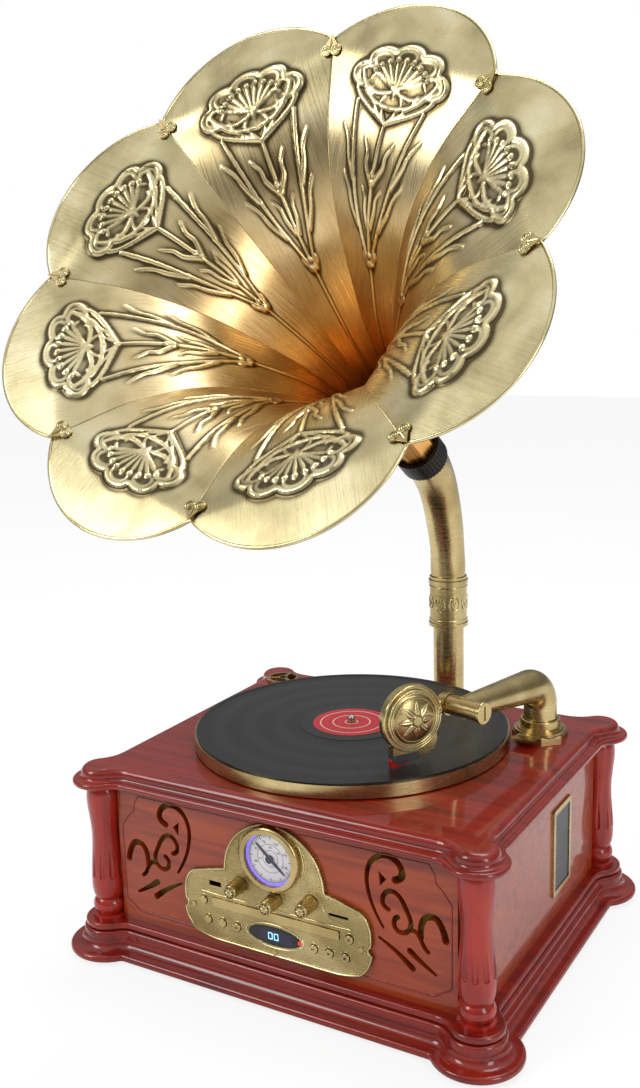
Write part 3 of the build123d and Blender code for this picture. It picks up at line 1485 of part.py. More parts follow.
# Speakers: basket with magnet, and the cone inside it
speaker_plane = panel_back_plane.offset(-mesh_thickness)
for name in ("speaker_frames", "speaker_cones"):
    with BuildPart() as speaker:
        with BuildSketch(Plane.XZ):
            with BuildLine():
                if name == "speaker_frames":
                    Polyline(
                        (speaker_radius - speaker_rim_width, 0),
                        (speaker_radius, 0),
                        (speaker_radius, speaker_flange),
                        (speaker_radius - speaker_rim_width + speaker_wall, speaker_flange),
                        (magnet_radius, speaker_depth - magnet_depth),
                        (magnet_radius, speaker_depth),
                        (0, speaker_depth),
                        (0, speaker_depth - magnet_depth),
                        (magnet_radius - speaker_wall, speaker_depth - magnet_depth),
                        (speaker_radius - speaker_rim_width, speaker_flange),
                        close=True,
                    )
                else:
                    cone_edge = speaker_radius - speaker_rim_width - running_gap
                    cone_floor = speaker_depth - magnet_depth - running_gap
                    Polyline(
                        (cone_edge, 1),
                        (coil_radius, cone_floor - cone_thickness),
                        (0, cone_floor - cone_thickness),
                        (0, cone_floor),
                        (coil_radius, cone_floor),
                        (cone_edge, 1 + cone_thickness),
                        close=True,
                    )
            make_face()
        revolve(axis=Axis.Z)
    with BuildPart() as pair:
        for sign in (-1, 1):
            with Locations(Plane(speaker_plane.from_local_coords(Vector(sign * speaker_x, speaker_z)),
                                 x_dir=(1, 0, 0), z_dir=(0, 1, 0))):
                add(speaker.part)
    pair.part.label = name
    export_step(pair.part, f"parts/{name}.step")

# Cassette bay: raised frame in the side panel
bay_hole_half_y = bay_width / 2 - bay_hole_margin
bay_hole_half_z = bay_height / 2 - bay_hole_margin
door_half_y = bay_width / 2 - bay_rim
door_half_z = bay_height / 2 - bay_rim
with BuildPart() as cassette_frame:
    with BuildSketch(side_plane):
        with Locations((bay_y, bay_z)):
            RectangleRounded(bay_width, bay_height, 2)
            Rectangle(2 * door_half_y, 2 * door_half_z, mode=Mode.SUBTRACT)
    extrude(amount=bay_proud)
    with BuildSketch(side_plane):
        with Locations((bay_y, bay_z)):
            Rectangle(2 * (bay_hole_half_y - seat_gap), 2 * (bay_hole_half_z - seat_gap))
            Rectangle(2 * door_half_y, 2 * door_half_z, mode=Mode.SUBTRACT)
    extrude(amount=-panel_thickness)
    door_front_x = column_x + bay_proud - door_sunk
    door_axis_x = door_front_x - door_thickness / 2
    door_axis_y = bay_y + door_half_y - loose_gap - door_pin_inset
    with Locations((door_axis_x, door_axis_y, bay_z)):
        Cylinder(door_pin_radius + running_gap, 2 * (door_half_z + door_pin_length - loose_gap + running_gap),
                 mode=Mode.SUBTRACT)
cassette_frame.part.label = "cassette_frame"
export_step(cassette_frame.part, "parts/cassette_frame.step")

with BuildPart() as cassette_door:
    with BuildSketch(side_plane.offset(bay_proud - door_sunk)):
        with Locations((bay_y, bay_z)):
            Rectangle(2 * (door_half_y - loose_gap), 2 * (door_half_z - loose_gap))
    extrude(amount=-door_thickness)
    fillet(cassette_door.edges().filter_by(Axis.Z).group_by(Axis.Y)[-1], door_thickness * 0.4)
    with Locations((door_axis_x, door_axis_y, bay_z)):
        Cylinder(door_pin_radius, 2 * (door_half_z + door_pin_length - loose_gap))
cassette_door.part.label = "cassette_door"
export_step(cassette_door.part, "parts/cassette_door.step")

# Cassette deck: case with room for the swinging door, and the slot behind it
deck_half_y = bay_hole_half_y + deck_wall
deck_half_z = bay_hole_half_z + deck_wall
deck_plane = side_plane.offset(-panel_thickness)
with BuildPart() as cassette_deck:
    with BuildSketch(deck_plane):
        with Locations((bay_y, bay_z)):
            Rectangle(2 * deck_half_y, 2 * deck_half_z)
    extrude(amount=-(deck_swing_depth + deck_slot_depth))
    with BuildSketch(deck_plane):
        with Locations((bay_y, bay_z)):
            Rectangle(2 * bay_hole_half_y, 2 * bay_hole_half_z)
    extrude(amount=-deck_swing_depth, mode=Mode.SUBTRACT)
    with BuildSketch(deck_plane.offset(-deck_swing_depth)):
        with Locations((bay_y, bay_z)):
            Rectangle(deck_slot_width, deck_slot_height)
    extrude(amount=-(deck_slot_depth - deck_wall), mode=Mode.SUBTRACT)
cassette_deck.part.label = "cassette_deck"
export_step(cassette_deck.part, "parts/cassette_deck.step")

# Sockets on the back: two sound outputs and the power inlet
with BuildPart() as rear_terminals:
    with BuildSketch(back_plane):
        with Locations((-terminal_x, terminal_z)):
            RectangleRounded(terminal_width, terminal_height, 2)
    extrude(amount=terminal_thickness)
    with BuildSketch(back_plane):
        with Locations((-terminal_x - terminal_width / 4, terminal_z)):
            Rectangle(inlet_width + 4, inlet_height + 4)
    extrude(amount=-inlet_depth)
    with BuildSketch(back_plane.offset(terminal_thickness)):
        with Locations((-terminal_x - terminal_width / 4, terminal_z)):
            Rectangle(inlet_width, inlet_height)
    extrude(amount=-(inlet_depth - 2), mode=Mode.SUBTRACT)
    with BuildSketch(back_plane.offset(terminal_thickness)):
        with Locations((-terminal_x + terminal_width / 4, terminal_z)):
            with GridLocations(jack_pitch, 0, 2, 1):
                Circle(jack_radius)
                Circle(jack_bore_radius, mode=Mode.SUBTRACT)
    extrude(amount=jack_length)
rear_terminals.part.label = "rear_terminals"
export_step(rear_terminals.part, "parts/rear_terminals.step")
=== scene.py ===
import json
import math
import bpy
import numpy as np
from mathutils import Matrix, Vector


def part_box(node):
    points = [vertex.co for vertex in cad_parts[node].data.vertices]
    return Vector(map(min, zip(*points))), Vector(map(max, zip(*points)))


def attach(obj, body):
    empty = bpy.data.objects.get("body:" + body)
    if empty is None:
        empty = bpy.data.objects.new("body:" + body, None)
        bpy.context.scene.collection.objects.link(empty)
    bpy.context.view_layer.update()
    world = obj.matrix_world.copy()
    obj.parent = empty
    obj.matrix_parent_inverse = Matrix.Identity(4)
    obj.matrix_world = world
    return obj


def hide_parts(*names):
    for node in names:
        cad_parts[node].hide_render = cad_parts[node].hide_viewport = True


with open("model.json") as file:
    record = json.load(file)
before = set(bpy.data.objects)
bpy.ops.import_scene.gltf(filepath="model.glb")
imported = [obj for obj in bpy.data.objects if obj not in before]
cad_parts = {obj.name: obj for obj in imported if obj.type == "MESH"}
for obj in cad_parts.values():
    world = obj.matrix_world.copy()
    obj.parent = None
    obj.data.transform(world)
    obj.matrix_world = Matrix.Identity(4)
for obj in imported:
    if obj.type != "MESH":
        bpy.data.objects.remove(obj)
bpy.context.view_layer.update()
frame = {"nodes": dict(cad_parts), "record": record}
nodes = frame["nodes"]
MM = 0.001


def tone(red, green, blue):
    """A colour written in 0 to 255 display values, as linear values."""
    shares = (red / 255, green / 255, blue / 255)
    linear = [share / 12.92 if share < 0.0405 else ((share + 0.055) / 1.055) ** 2.4 for share in shares]
    return (*linear, 1.0)


class Finish:
    """A node material whose colour, roughness and relief come from the piece's own coordinates."""

    def __init__(self, name, metallic=0.0, coat=0.0, place="Object"):
        self.material = bpy.data.materials.new(name)
        self.material.use_nodes = True
        self.tree = self.material.node_tree
        self.shader = self.tree.nodes["Principled BSDF"]
        self.set("Metallic", metallic)
        self.set("Coat Weight", coat)
        self.set("Coat Roughness", 0.05)
        self.normal = None
        self.place = self.node("TexCoord").outputs["Object"]
        if place != "Object":
            self.place = self.node("Attribute", attribute_name=place).outputs["Vector"]

    def set(self, socket, value):
        self.shader.inputs[socket].default_value = value

    def node(self, kind, **values):
        made = self.tree.nodes.new("ShaderNode" + kind)
        for key, value in values.items():
            if key in made.bl_rna.properties:
                setattr(made, key, value)
            else:
                made.inputs[key.replace("_", " ")].default_value = value
        return made

    def link(self, start, end):
        self.tree.links.new(start, end)

    def stretched(self, scale, turn=(0, 0, 0)):
        """The piece's coordinates scaled, and turned where a weave runs aslant."""
        made = self.node("Mapping", Scale=scale, Rotation=turn)
        self.link(self.place, made.inputs["Vector"])
        return made.outputs["Vector"]

    def noise(self, scale, detail=4.0, distortion=0.0, stretch=None):
        made = self.node("TexNoise", Scale=scale, Detail=detail, Distortion=distortion)
        self.link(self.stretched(stretch) if stretch else self.place, made.inputs["Vector"])
        return made.outputs["Fac"]

    def ramp(self, factor, stops):
        made = self.node("ValToRGB")
        elements = made.color_ramp.elements
        for at, colour in stops[2:]:
            elements.new(at)
        for element, (at, colour) in zip(elements, stops):
            element.position = at
            element.color = colour
        self.link(factor, made.inputs["Fac"])
        return made.outputs["Color"]

    def remap(self, factor, low, high, start=0.3, end=0.7):
        made = self.node("MapRange", From_Min=start, From_Max=end, To_Min=low, To_Max=high)
        self.link(factor, made.inputs["Value"])
        return made.outputs["Result"]

    def mix(self, factor, first, second):
        made = self.node("Mix", data_type="RGBA")
        for socket, value in ((made.inputs[0], factor), (made.inputs[6], first), (made.inputs[7], second)):
            if isinstance(value, bpy.types.NodeSocket):
                self.link(value, socket)
            else:
                socket.default_value = value
        return made.outputs[2]

    def bump(self, height, distance, strength=1.0):
        made = self.node("Bump", Distance=distance, Strength=strength)
        self.link(height, made.inputs["Height"])
        if self.normal:
            self.link(self.normal, made.inputs["Normal"])
        self.normal = made.outputs["Normal"]

    def done(self, colour, roughness):
        self.link(colour, self.shader.inputs["Base Color"])
        self.link(roughness, self.shader.inputs["Roughness"])
        if self.normal:
            self.link(self.normal, self.shader.inputs["Normal"])
        return self.material


def lacquer(name, dark, middle, light, along, gloss=0.7):
    """Stained wood under clear lacquer, with its grain along one axis, pores and a little dust."""
    wood = Finish(name, coat=gloss)
    wood.set("Specular IOR Level", 0.2)
    grain_scale = [70, 70, 70]
    pore_scale = [900, 900, 900]
    grain_scale[along] = 5
    pore_scale[along] = 40
    grain = wood.noise(1.0, 6.0, 1.4, grain_scale)
    pores = wood.noise(1.0, 3.0, 0.2, pore_scale)
    cloud = wood.noise(9.0, 3.0)
    colour = wood.ramp(grain, [(0.28, dark), (0.5, middle), (0.75, light)])
    colour = wood.mix(wood.remap(pores, 0.0, 0.35, 0.55, 0.75), colour, dark)
    colour = wood.mix(wood.remap(cloud, 0.0, 0.4), colour, middle)
    dust = wood.node("TexVoronoi", Scale=260.0, Randomness=1.0)
    wood.link(wood.place, dust.inputs["Vector"])
    colour = wood.mix(wood.remap(dust.outputs["Distance"], 0.3, 0.0, 0.03, 0.09), colour, light)
    wood.bump(pores, 0.00004)
    wood.bump(cloud, 0.0008, 0.15)
    return wood.done(colour, wood.remap(pores, 0.32, 0.5))


def metal(name, dark, middle, light, rough=(0.2, 0.36), brush=(60, 60, 1100), place="Object",
          stipple=0.0, painted_warm_reflection=None, worn=False):
    """Plated metal with brushed lines, slow changes of tone, and on some pieces stippling, dark hollows and a
    painted warm reflection that deepens towards one point.
    """
    plating = Finish(name, metallic=1.0, place=place)
    cloud = plating.noise(16.0, 5.0, 0.6) if place == "Object" else plating.noise(18.0, 4.0, 0.3)
    lines = plating.noise(1.0, 3.0, 0.0, brush)
    colour = plating.ramp(cloud, [(0.3, dark), (0.52, middle), (0.74, light)])
    colour = plating.mix(plating.remap(lines, 0.0, 0.16, 0.45, 0.75), colour, dark)
    # Painted reflection: the colour turns a deep orange gold near the given point, standing in for light bounced
    # between brass surfaces.
    if painted_warm_reflection:
        centre, reach, glow = painted_warm_reflection
        away = plating.node("VectorMath", operation="DISTANCE")
        away.inputs[1].default_value = centre
        plating.link(plating.node("TexCoord").outputs["Object"], away.inputs[0])
        near = plating.remap(away.outputs["Value"], 0.9, 0.0, reach[0], reach[1])
        colour = plating.mix(near, colour, glow)
    if worn:
        hollow = plating.node("Attribute", attribute_name="hollow").outputs["Fac"]
        colour = plating.mix(plating.remap(hollow, 0.0, 0.9, 0.04, 0.55), colour, tone(58, 45, 24))
        colour = plating.mix(plating.remap(hollow, 0.5, 0.0, -0.7, -0.1), colour, tone(238, 222, 172))
    if stipple:
        cells = plating.node("TexVoronoi", Scale=stipple)
        plating.link(plating.place, cells.inputs["Vector"])
        plating.bump(cells.outputs["Distance"], 0.0004, 0.8)
        pits = plating.remap(cells.outputs["Distance"], 0.35, 0.0, 0.1, 0.5)
        colour = plating.mix(pits, colour, tone(92, 78, 50))
    plating.bump(lines, 0.00002, 0.6)
    return plating.done(colour, plating.remap(lines, rough[0], rough[1]))


def moulded(name, dark, light, rough=(0.35, 0.5), grain=700.0, depth=0.00005):
    """Plastic, rubber, paper or board, with a fine surface grain."""
    stuff = Finish(name)
    fine = stuff.noise(grain, 4.0)
    slow = stuff.noise(24.0, 3.0)
    stuff.bump(fine, depth)
    return stuff.done(stuff.ramp(slow, [(0.35, dark), (0.65, light)]), stuff.remap(fine, rough[0], rough[1]))


def lamp_paint(name, colour, strength):
    """Lit parts of the dial and display."""
    lit = Finish(name)
    glow = lit.ramp(lit.noise(900.0), [(0.3, tone(*[int(c * 0.75) for c in colour])), (0.7, tone(*colour))])
    lit.link(glow, lit.shader.inputs["Emission Color"])
    lit.set("Emission Strength", strength)
    return lit.done(glow, lit.remap(lit.noise(300.0), 0.3, 0.4))


RED = lacquer("red_lacquer_x", tone(82, 8, 0), tone(120, 16, 2), tone(142, 30, 5), 0)
RED_UP = lacquer("red_lacquer_z", tone(98, 9, 0), tone(144, 20, 3), tone(170, 38, 8), 2)
PANEL = lacquer("panel_lacquer", tone(98, 26, 3), tone(142, 50, 9), tone(164, 68, 16), 0)
BARE = lacquer("bare_board", tone(150, 112, 72), tone(180, 142, 98), tone(204, 170, 126), 0, 0.0)
BRASS = metal("antique_brass", tone(158, 138, 92), tone(186, 166, 116), tone(208, 190, 142))
PLATE = metal("plate_brass", tone(138, 122, 80), tone(172, 154, 106), tone(200, 184, 136), stipple=760.0)
PLATTER = metal("platter_brass", tone(150, 130, 84), tone(190, 170, 120), tone(214, 198, 152),
                (0.18, 0.32), (90, 90, 1600))
CROWN = metal("rosette_brass", tone(122, 104, 64), tone(176, 156, 106), tone(212, 196, 150), worn=True)
THROAT = (0.0, 0.153, 0.442)
AXIS_SHIFT = (0.012, -0.008, 0)
# Horn brass. Towards the throat, a painted warm reflection stands in for light bounced between the petals.
PETAL = metal("horn_brass", tone(158, 146, 108), tone(196, 184, 142), tone(222, 212, 176),
              (0.2, 0.38), (1400, 14, 14), "petal_place", painted_warm_reflection=(THROAT, (0.03, 0.4), tone(236, 168, 84)), worn=True)
RIM = metal("rim_brass", tone(170, 156, 108), tone(206, 194, 148), tone(232, 222, 184), (0.14, 0.26))
BLACK = metal("black_metal", tone(20, 19, 18), tone(32, 30, 28), tone(52, 49, 45), (0.3, 0.45))
STEEL = metal("steel", tone(120, 120, 118), tone(165, 165, 162), tone(200, 200, 198), (0.2, 0.35))
RUBBER = moulded("rubber", tone(16, 16, 16), tone(30, 30, 30), (0.6, 0.8))
PLASTIC = moulded("black_plastic", tone(12, 12, 13), tone(24, 24, 26), (0.22, 0.36))
DRIVE = moulded("drive_plastic", tone(40, 40, 42), tone(66, 66, 68))
PAPER = moulded("cone_paper", tone(30, 28, 26), tone(50, 47, 43), (0.7, 0.9), 400.0, 0.0002)
CREAM = moulded("dial_cream", tone(214, 212, 222), tone(236, 232, 232), (0.4, 0.5))
BOARD = moulded("board_green", tone(16, 62, 36), tone(26, 92, 52))
STYLUS = moulded("red_plastic", tone(150, 18, 16), tone(196, 34, 26), (0.25, 0.35))
INK = moulded("dark_ink", tone(34, 32, 52), tone(52, 48, 74), (0.5, 0.6))
LED = lamp_paint("red_led", (255, 40, 30), 2.0)
DIGIT = lamp_paint("digit_light", (150, 220, 255), 1.6)
VIOLET = lamp_paint("violet_light", (140, 120, 255), 1.1)


def gauze_finish():
    """Gold gauze: two families of wires with dark holes between."""
    cloth = Finish("gold_gauze", metallic=1.0)
    wires = []
    for turn in (math.radians(45), math.radians(-45)):
        wave = cloth.node("TexWave", Scale=190.0, Distortion=0.4, bands_direction="X")
        cloth.link(cloth.stretched((1, 1, 1), (0, turn, 0)), wave.inputs["Vector"])
        wires.append(wave.outputs["Fac"])
    top = cloth.node("Math", operation="MAXIMUM")
    cloth.link(wires[0], top.inputs[0])
    cloth.link(wires[1], top.inputs[1])
    cloth.bump(top.outputs[0], 0.0004)
    colour = cloth.ramp(top.outputs[0], [(0.55, tone(10, 8, 5)), (0.85, tone(150, 118, 60))])
    return cloth.done(colour, cloth.remap(top.outputs[0], 0.7, 0.35))


def vinyl_finish():
    """Record vinyl: fine grooves round the middle, with a few wider bands between tracks."""
    vinyl = Finish("vinyl")
    vinyl.place = vinyl.stretched((1, 1, 1))
    vinyl.place.node.inputs["Location"].default_value = AXIS_SHIFT
    fine = vinyl.node("TexWave", wave_type="RINGS", rings_direction="Z", Scale=260.0, Distortion=0.0)
    wide = vinyl.node("TexWave", wave_type="RINGS", rings_direction="Z", Scale=11.0, Distortion=0.6)
    for wave in (fine, wide):
        vinyl.link(vinyl.place, wave.inputs["Vector"])
    vinyl.bump(fine.outputs["Fac"], 0.00012, 0.7)
    vinyl.bump(wide.outputs["Fac"], 0.0003, 0.25)
    colour = vinyl.ramp(wide.outputs["Fac"], [(0.2, tone(10, 10, 11)), (0.9, tone(24, 24, 26))])
    return vinyl.done(colour, vinyl.remap(fine.outputs["Fac"], 0.2, 0.34))


def label_finish():
    """Crimson paper label with plain printed rings."""
    paper = Finish("record_label")
    paper.place = paper.stretched((1, 1, 1))
    paper.place.node.inputs["Location"].default_value = AXIS_SHIFT
    ring = paper.node("TexWave", wave_type="RINGS", rings_direction="Z", Scale=26.0, Distortion=0.0)
    paper.link(paper.place, ring.inputs["Vector"])
    inks = [(0.0, tone(176, 28, 46)), (0.93, tone(158, 18, 38)), (0.97, tone(214, 150, 120))]
    colour = paper.ramp(ring.outputs["Fac"], inks)
    fleck = paper.noise(1400.0)
    paper.bump(fleck, 0.00003)
    return paper.done(colour, paper.remap(fleck, 0.4, 0.55))


def glass_finish():
    """Clear glass with a faint smear."""
    clear = Finish("clear_glass")
    clear.set("Transmission Weight", 1.0)
    clear.set("IOR", 1.3)
    smear = clear.noise(60.0)
    colour = clear.ramp(smear, [(0.3, tone(250, 250, 252)), (0.7, tone(255, 255, 255))])
    return clear.done(colour, clear.remap(smear, 0.0, 0.03))


GAUZE = gauze_finish()
VINYL = vinyl_finish()
LABEL = label_finish()
GLASS = glass_finish()

SLOT_FINISH = {
    "lacquered_wood": RED, "panel_wood": PANEL, "bare_wood": BARE, "foot_rubber": RUBBER,
    "antique_brass": BRASS, "horn_brass": BRASS, "platter_brass": PLATTER, "black_metal": BLACK,
    "gold_gauze": GAUZE, "steel": STEEL, "paper_cone": PAPER, "cream_dial": CREAM,
    "clear_glass": GLASS, "dark_needle": INK, "display_plastic": PLASTIC, "button_brass": BRASS,
    "drive_plastic": DRIVE, "tray_brass": BRASS, "board_laminate": BOARD, "belt_rubber": RUBBER,
    "vinyl": VINYL,
}
NODE_FINISH = {"corner_columns": RED_UP, "control_plate": PLATE}
for row in frame["record"]["subparts"]:
    finish = NODE_FINISH.get(row["node"], SLOT_FINISH[row["material_slot"]])
    nodes[row["node"]].data.materials.clear()
    nodes[row["node"]].data.materials.append(finish)


def piece(name, parts, body, replaced=(), crease=35):
    """One mesh object from (points in mm, faces, material) parts, riding on a body."""
    points, faces, marks, finishes = [], [], [], []
    for part_points, part_faces, finish in parts:
        start = len(points)
        points.extend(Vector(p) * MM for p in part_points)
        if finish not in finishes:
            finishes.append(finish)
        faces.extend([i + start for i in face] for face in part_faces)
        marks.extend([finishes.index(finish)] * len(part_faces))
    mesh = bpy.data.meshes.new(name)
    mesh.from_pydata(points, [], faces)
    for finish in finishes:
        mesh.materials.append(finish)
    mesh.polygons.foreach_set("material_index", marks)
    mesh.update()
    mesh.shade_smooth()
    mesh.set_sharp_from_angle(angle=math.radians(crease))
    made = bpy.data.objects.new(name, mesh)
    bpy.context.scene.collection.objects.link(made)
    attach(made, body)
    if replaced:
        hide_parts(*replaced)
    return made


def grid_faces(rows, columns, wrap=False):
    """Quads of a grid of points, row by row."""
    last = columns if wrap else columns - 1
    faces = []
    for row in range(0, (rows - 1) * columns, columns):
        for c in range(last):
            after = (c + 1) % columns
            faces.append((row + c, row + after, row + columns + after, row + columns + c))
    return faces


def placed(points, origin, across, up):
    """Points of a local plane carried to the frame: x runs across, y runs up, z out of it."""
    x = np.array(across, float)
    x /= np.linalg.norm(x)
    y = np.array(up, float)
    y /= np.linalg.norm(y)
    return np.asarray(points, float) @ np.array([x, y, np.cross(x, y)]) + np.array(origin, float)


def lathe(profile, segments=96):
    """A closed turned solid from (radius, height) pairs whose first and last radius are zero."""
    inner = profile[1:-1]
    turns = np.linspace(0, 2 * math.pi, segments, endpoint=False)
    points = [(r * math.cos(a), r * math.sin(a), h) for r, h in inner for a in turns]
    faces = grid_faces(len(inner), segments, True)
    foot, tip = len(points), len(points) + 1
    points += [(0, 0, profile[0][1]), (0, 0, profile[-1][1])]
    top = (len(inner) - 1) * segments
    faces += [(foot, (i + 1) % segments, i) for i in range(segments)]
    faces += [(tip, top + i, top + (i + 1) % segments) for i in range(segments)]
    return np.array(points), faces


def tube(path, radius, sides=10, closed=False):
    """A round wire along a path, with rounded-off flat ends where it is open."""
    path = np.array(path, float)
    count = len(path)
    radii = np.broadcast_to(radius, (count,)).astype(float)
    ahead = np.roll(path, -1, 0) - np.roll(path, 1, 0)
    if not closed:
        ahead[0], ahead[-1] = path[1] - path[0], path[-1] - path[-2]
    ahead /= np.linalg.norm(ahead, axis=1)[:, None]
    side = np.cross(ahead[0], (0.31, 0.17, 0.93))
    points = []
    turns = np.linspace(0, 2 * math.pi, sides, endpoint=False)
    for place, way, r in zip(path, ahead, radii):
        side = side - way * (side @ way)
        side /= np.linalg.norm(side)
        other = np.cross(way, side)
        points.extend(place + r * (math.cos(a) * side + math.sin(a) * other) for a in turns)
    faces = grid_faces(count, sides, True)
    if closed:
        base = (count - 1) * sides
        faces += [(base + i, base + (i + 1) % sides, (i + 1) % sides, i) for i in range(sides)]
    else:
        faces += [tuple(range(sides))[::-1], tuple((count - 1) * sides + i for i in range(sides))]
    return np.array(points), faces


def bead(centre, radius, rings=6, sides=12, squash=1.0):
    """A small ball, flattened by squash."""
    steps = [math.pi * k / rings for k in range(rings + 1)]
    profile = [(radius * math.sin(a), -radius * squash * math.cos(a)) for a in steps]
    points, faces = lathe(profile, sides)
    return points + np.array(centre, float), faces


def circle(centre, radius, height, count, tall=None):
    """Evenly spaced points of a circle, or of an ellipse when tall is given."""
    turns = np.linspace(0, 2 * math.pi, count, endpoint=False)
    tall = tall or radius
    return [(centre[0] + radius * math.cos(a), centre[1] + tall * math.sin(a), height) for a in turns]


def joined(parts, finish):
    """Several (points, faces) shapes as one part with one material."""
    points, faces, start = [], [], 0
    for shape, shape_faces in parts:
        points.append(shape)
        faces.extend(tuple(i + start for i in face) for face in shape_faces)
        start += len(shape)
    return np.concatenate(points), faces, finish


def slab(outline, low, high):
    """A flat convex or simple outline raised between two heights."""
    count = len(outline)
    points = [(x, y, low) for x, y in outline] + [(x, y, high) for x, y in outline]
    faces = [tuple(range(count))[::-1], tuple(range(count, 2 * count))]
    faces += [(i, (i + 1) % count, count + (i + 1) % count, count + i) for i in range(count)]
    return np.array(points, float), faces


# Camera
camera = bpy.data.objects.new("camera", bpy.data.cameras.new("camera"))
bpy.context.scene.collection.objects.link(camera)
yaw, pitch, roll = math.radians(30.44), math.radians(11.57), math.radians(-1.54)
forward = Vector((-math.sin(yaw) * math.cos(pitch), math.cos(yaw) * math.cos(pitch), -math.sin(pitch)))
level = Vector((math.cos(yaw), math.sin(yaw), 0))
upward = level.cross(forward)
across = level * math.cos(roll) + upward * math.sin(roll)
upright = upward * math.cos(roll) - level * math.sin(roll)
turned = Matrix((across, upright, -forward)).transposed().to_4x4()
camera.matrix_world = Matrix.Translation(Vector((525.5, -958.3, 605.2)) * MM) @ turned
camera.data.sensor_fit = "AUTO"
camera.data.sensor_width = 36
camera.data.lens = 36 * 1192.4 / 1088
camera.data.clip_end = 20
bpy.context.scene.camera = camera
bpy.context.scene.view_settings.view_transform = "Standard"

# Light
world = bpy.data.worlds.new("studio")
bpy.context.scene.world = world
world.use_nodes = True
sky = world.node_tree
background = sky.nodes["Background"]
path_node = sky.nodes.new("ShaderNodeLightPath")
direction = sky.nodes.new("ShaderNodeTexCoord")
split = sky.nodes.new("ShaderNodeSeparateXYZ")
sky.links.new(direction.outputs["Generated"], split.inputs[0])
shade = sky.nodes.new("ShaderNodeValToRGB")
for at, level_of in ((0.12, 0.2), (0.4, 0.34)):
    shade.color_ramp.elements.new(at).color = (level_of, level_of, level_of, 1)
shade.color_ramp.elements[0].color = (0.3, 0.29, 0.28, 1)
shade.color_ramp.elements[3].position = 0.85
shade.color_ramp.elements[3].color = (1.0, 1.0, 1.0, 1)
sky.links.new(split.outputs["Z"], shade.inputs["Fac"])
seen = sky.nodes.new("ShaderNodeMath")
seen.operation = "MAXIMUM"
sky.links.new(path_node.outputs["Is Camera Ray"], seen.inputs[0])
sky.links.new(path_node.outputs["Is Transmission Ray"], seen.inputs[1])
choice = sky.nodes.new("ShaderNodeMix")
choice.data_type = "RGBA"
sky.links.new(seen.outputs[0], choice.inputs[0])
sky.links.new(shade.outputs["Color"], choice.inputs[6])
choice.inputs[7].default_value = (1, 1, 1, 1)
sky.links.new(choice.outputs[2], background.inputs["Color"])


def softbox(name, place, target, width, height, power):
    light = bpy.data.lights.new(name, "AREA")
    light.shape = "RECTANGLE"
    light.size, light.size_y, light.energy = width, height, power
    made = bpy.data.objects.new(name, light)
    bpy.context.scene.collection.objects.link(made)
    made.location = place
    made.rotation_euler = (Vector(target) - Vector(place)).to_track_quat("-Z", "Y").to_euler()


softbox("key", (-1.5, -1.9, 1.9), (0, 0, 0.35), 0.9, 1.3, 34)
softbox("fill", (2.3, -1.0, 1.1), (0, 0, 0.3), 0.7, 1.4, 20)
softbox("top", (0.1, 0.6, 2.3), (0, 0, 0.3), 1.6, 0.9, 24)

# Floor
FLOOR_HALF = 6.0
ground = bpy.data.meshes.new("floor")
corners = [(x * FLOOR_HALF, y * FLOOR_HALF, 0) for x, y in ((-1, -1), (1, -1), (1, 1), (-1, 1))]
ground.from_pydata(corners, [], [(0, 1, 2, 3)])
floor = bpy.data.objects.new("floor", ground)
bpy.context.scene.collection.objects.link(floor)
pale = Finish("pale_floor")
pale.set("Specular IOR Level", 0.1)
slow = pale.noise(3.0)
pale_colour = pale.ramp(slow, [(0.3, tone(240, 240, 240)), (0.7, tone(246, 246, 246))])
pale.done(pale_colour, pale.remap(slow, 0.8, 0.9))
glow = pale.node("Emission", Strength=1.0)
ray = pale.node("LightPath")
most = pale.node("Math", operation="MULTIPLY")
most.inputs[1].default_value = 0.82
pale.link(ray.outputs["Is Camera Ray"], most.inputs[0])
blend = pale.node("MixShader")
pale.link(most.outputs[0], blend.inputs[0])
pale.link(pale.shader.outputs[0], blend.inputs[1])
pale.link(glow.outputs[0], blend.inputs[2])
pale.link(blend.outputs[0], pale.tree.nodes["Material Output"].inputs["Surface"])
ground.materials.append(pale.material)

# Horn
MOUTH = (0, -133.93, 636.25)
TILT = math.radians(34.11)
HORN_UP = (0, math.sin(TILT), math.cos(TILT))
HALF = math.radians(22.5)
SHARE = math.cos(HALF)
SEAM = [(-330, 20.2), (-280, 23), (-230, 29), (-187, 40), (-152, 53.5), (-107, 79), (-85, 93), (-61, 113),
        (-36, 142), (-20, 170), (-8, 201), (0, 228.6)]
LOBE, OFFSET, TIP, TIP_RISE = 102.0, 157.0, 262.0, 3.3
PETALS, HORN_TURN, SEAM_TURN = 8, 24.0, 46.5
FLOWER_RADIUS = 187
HEAD_SHIFT, HEAD_LONG, HEAD_WIDE = 17, 0.84, 1.22


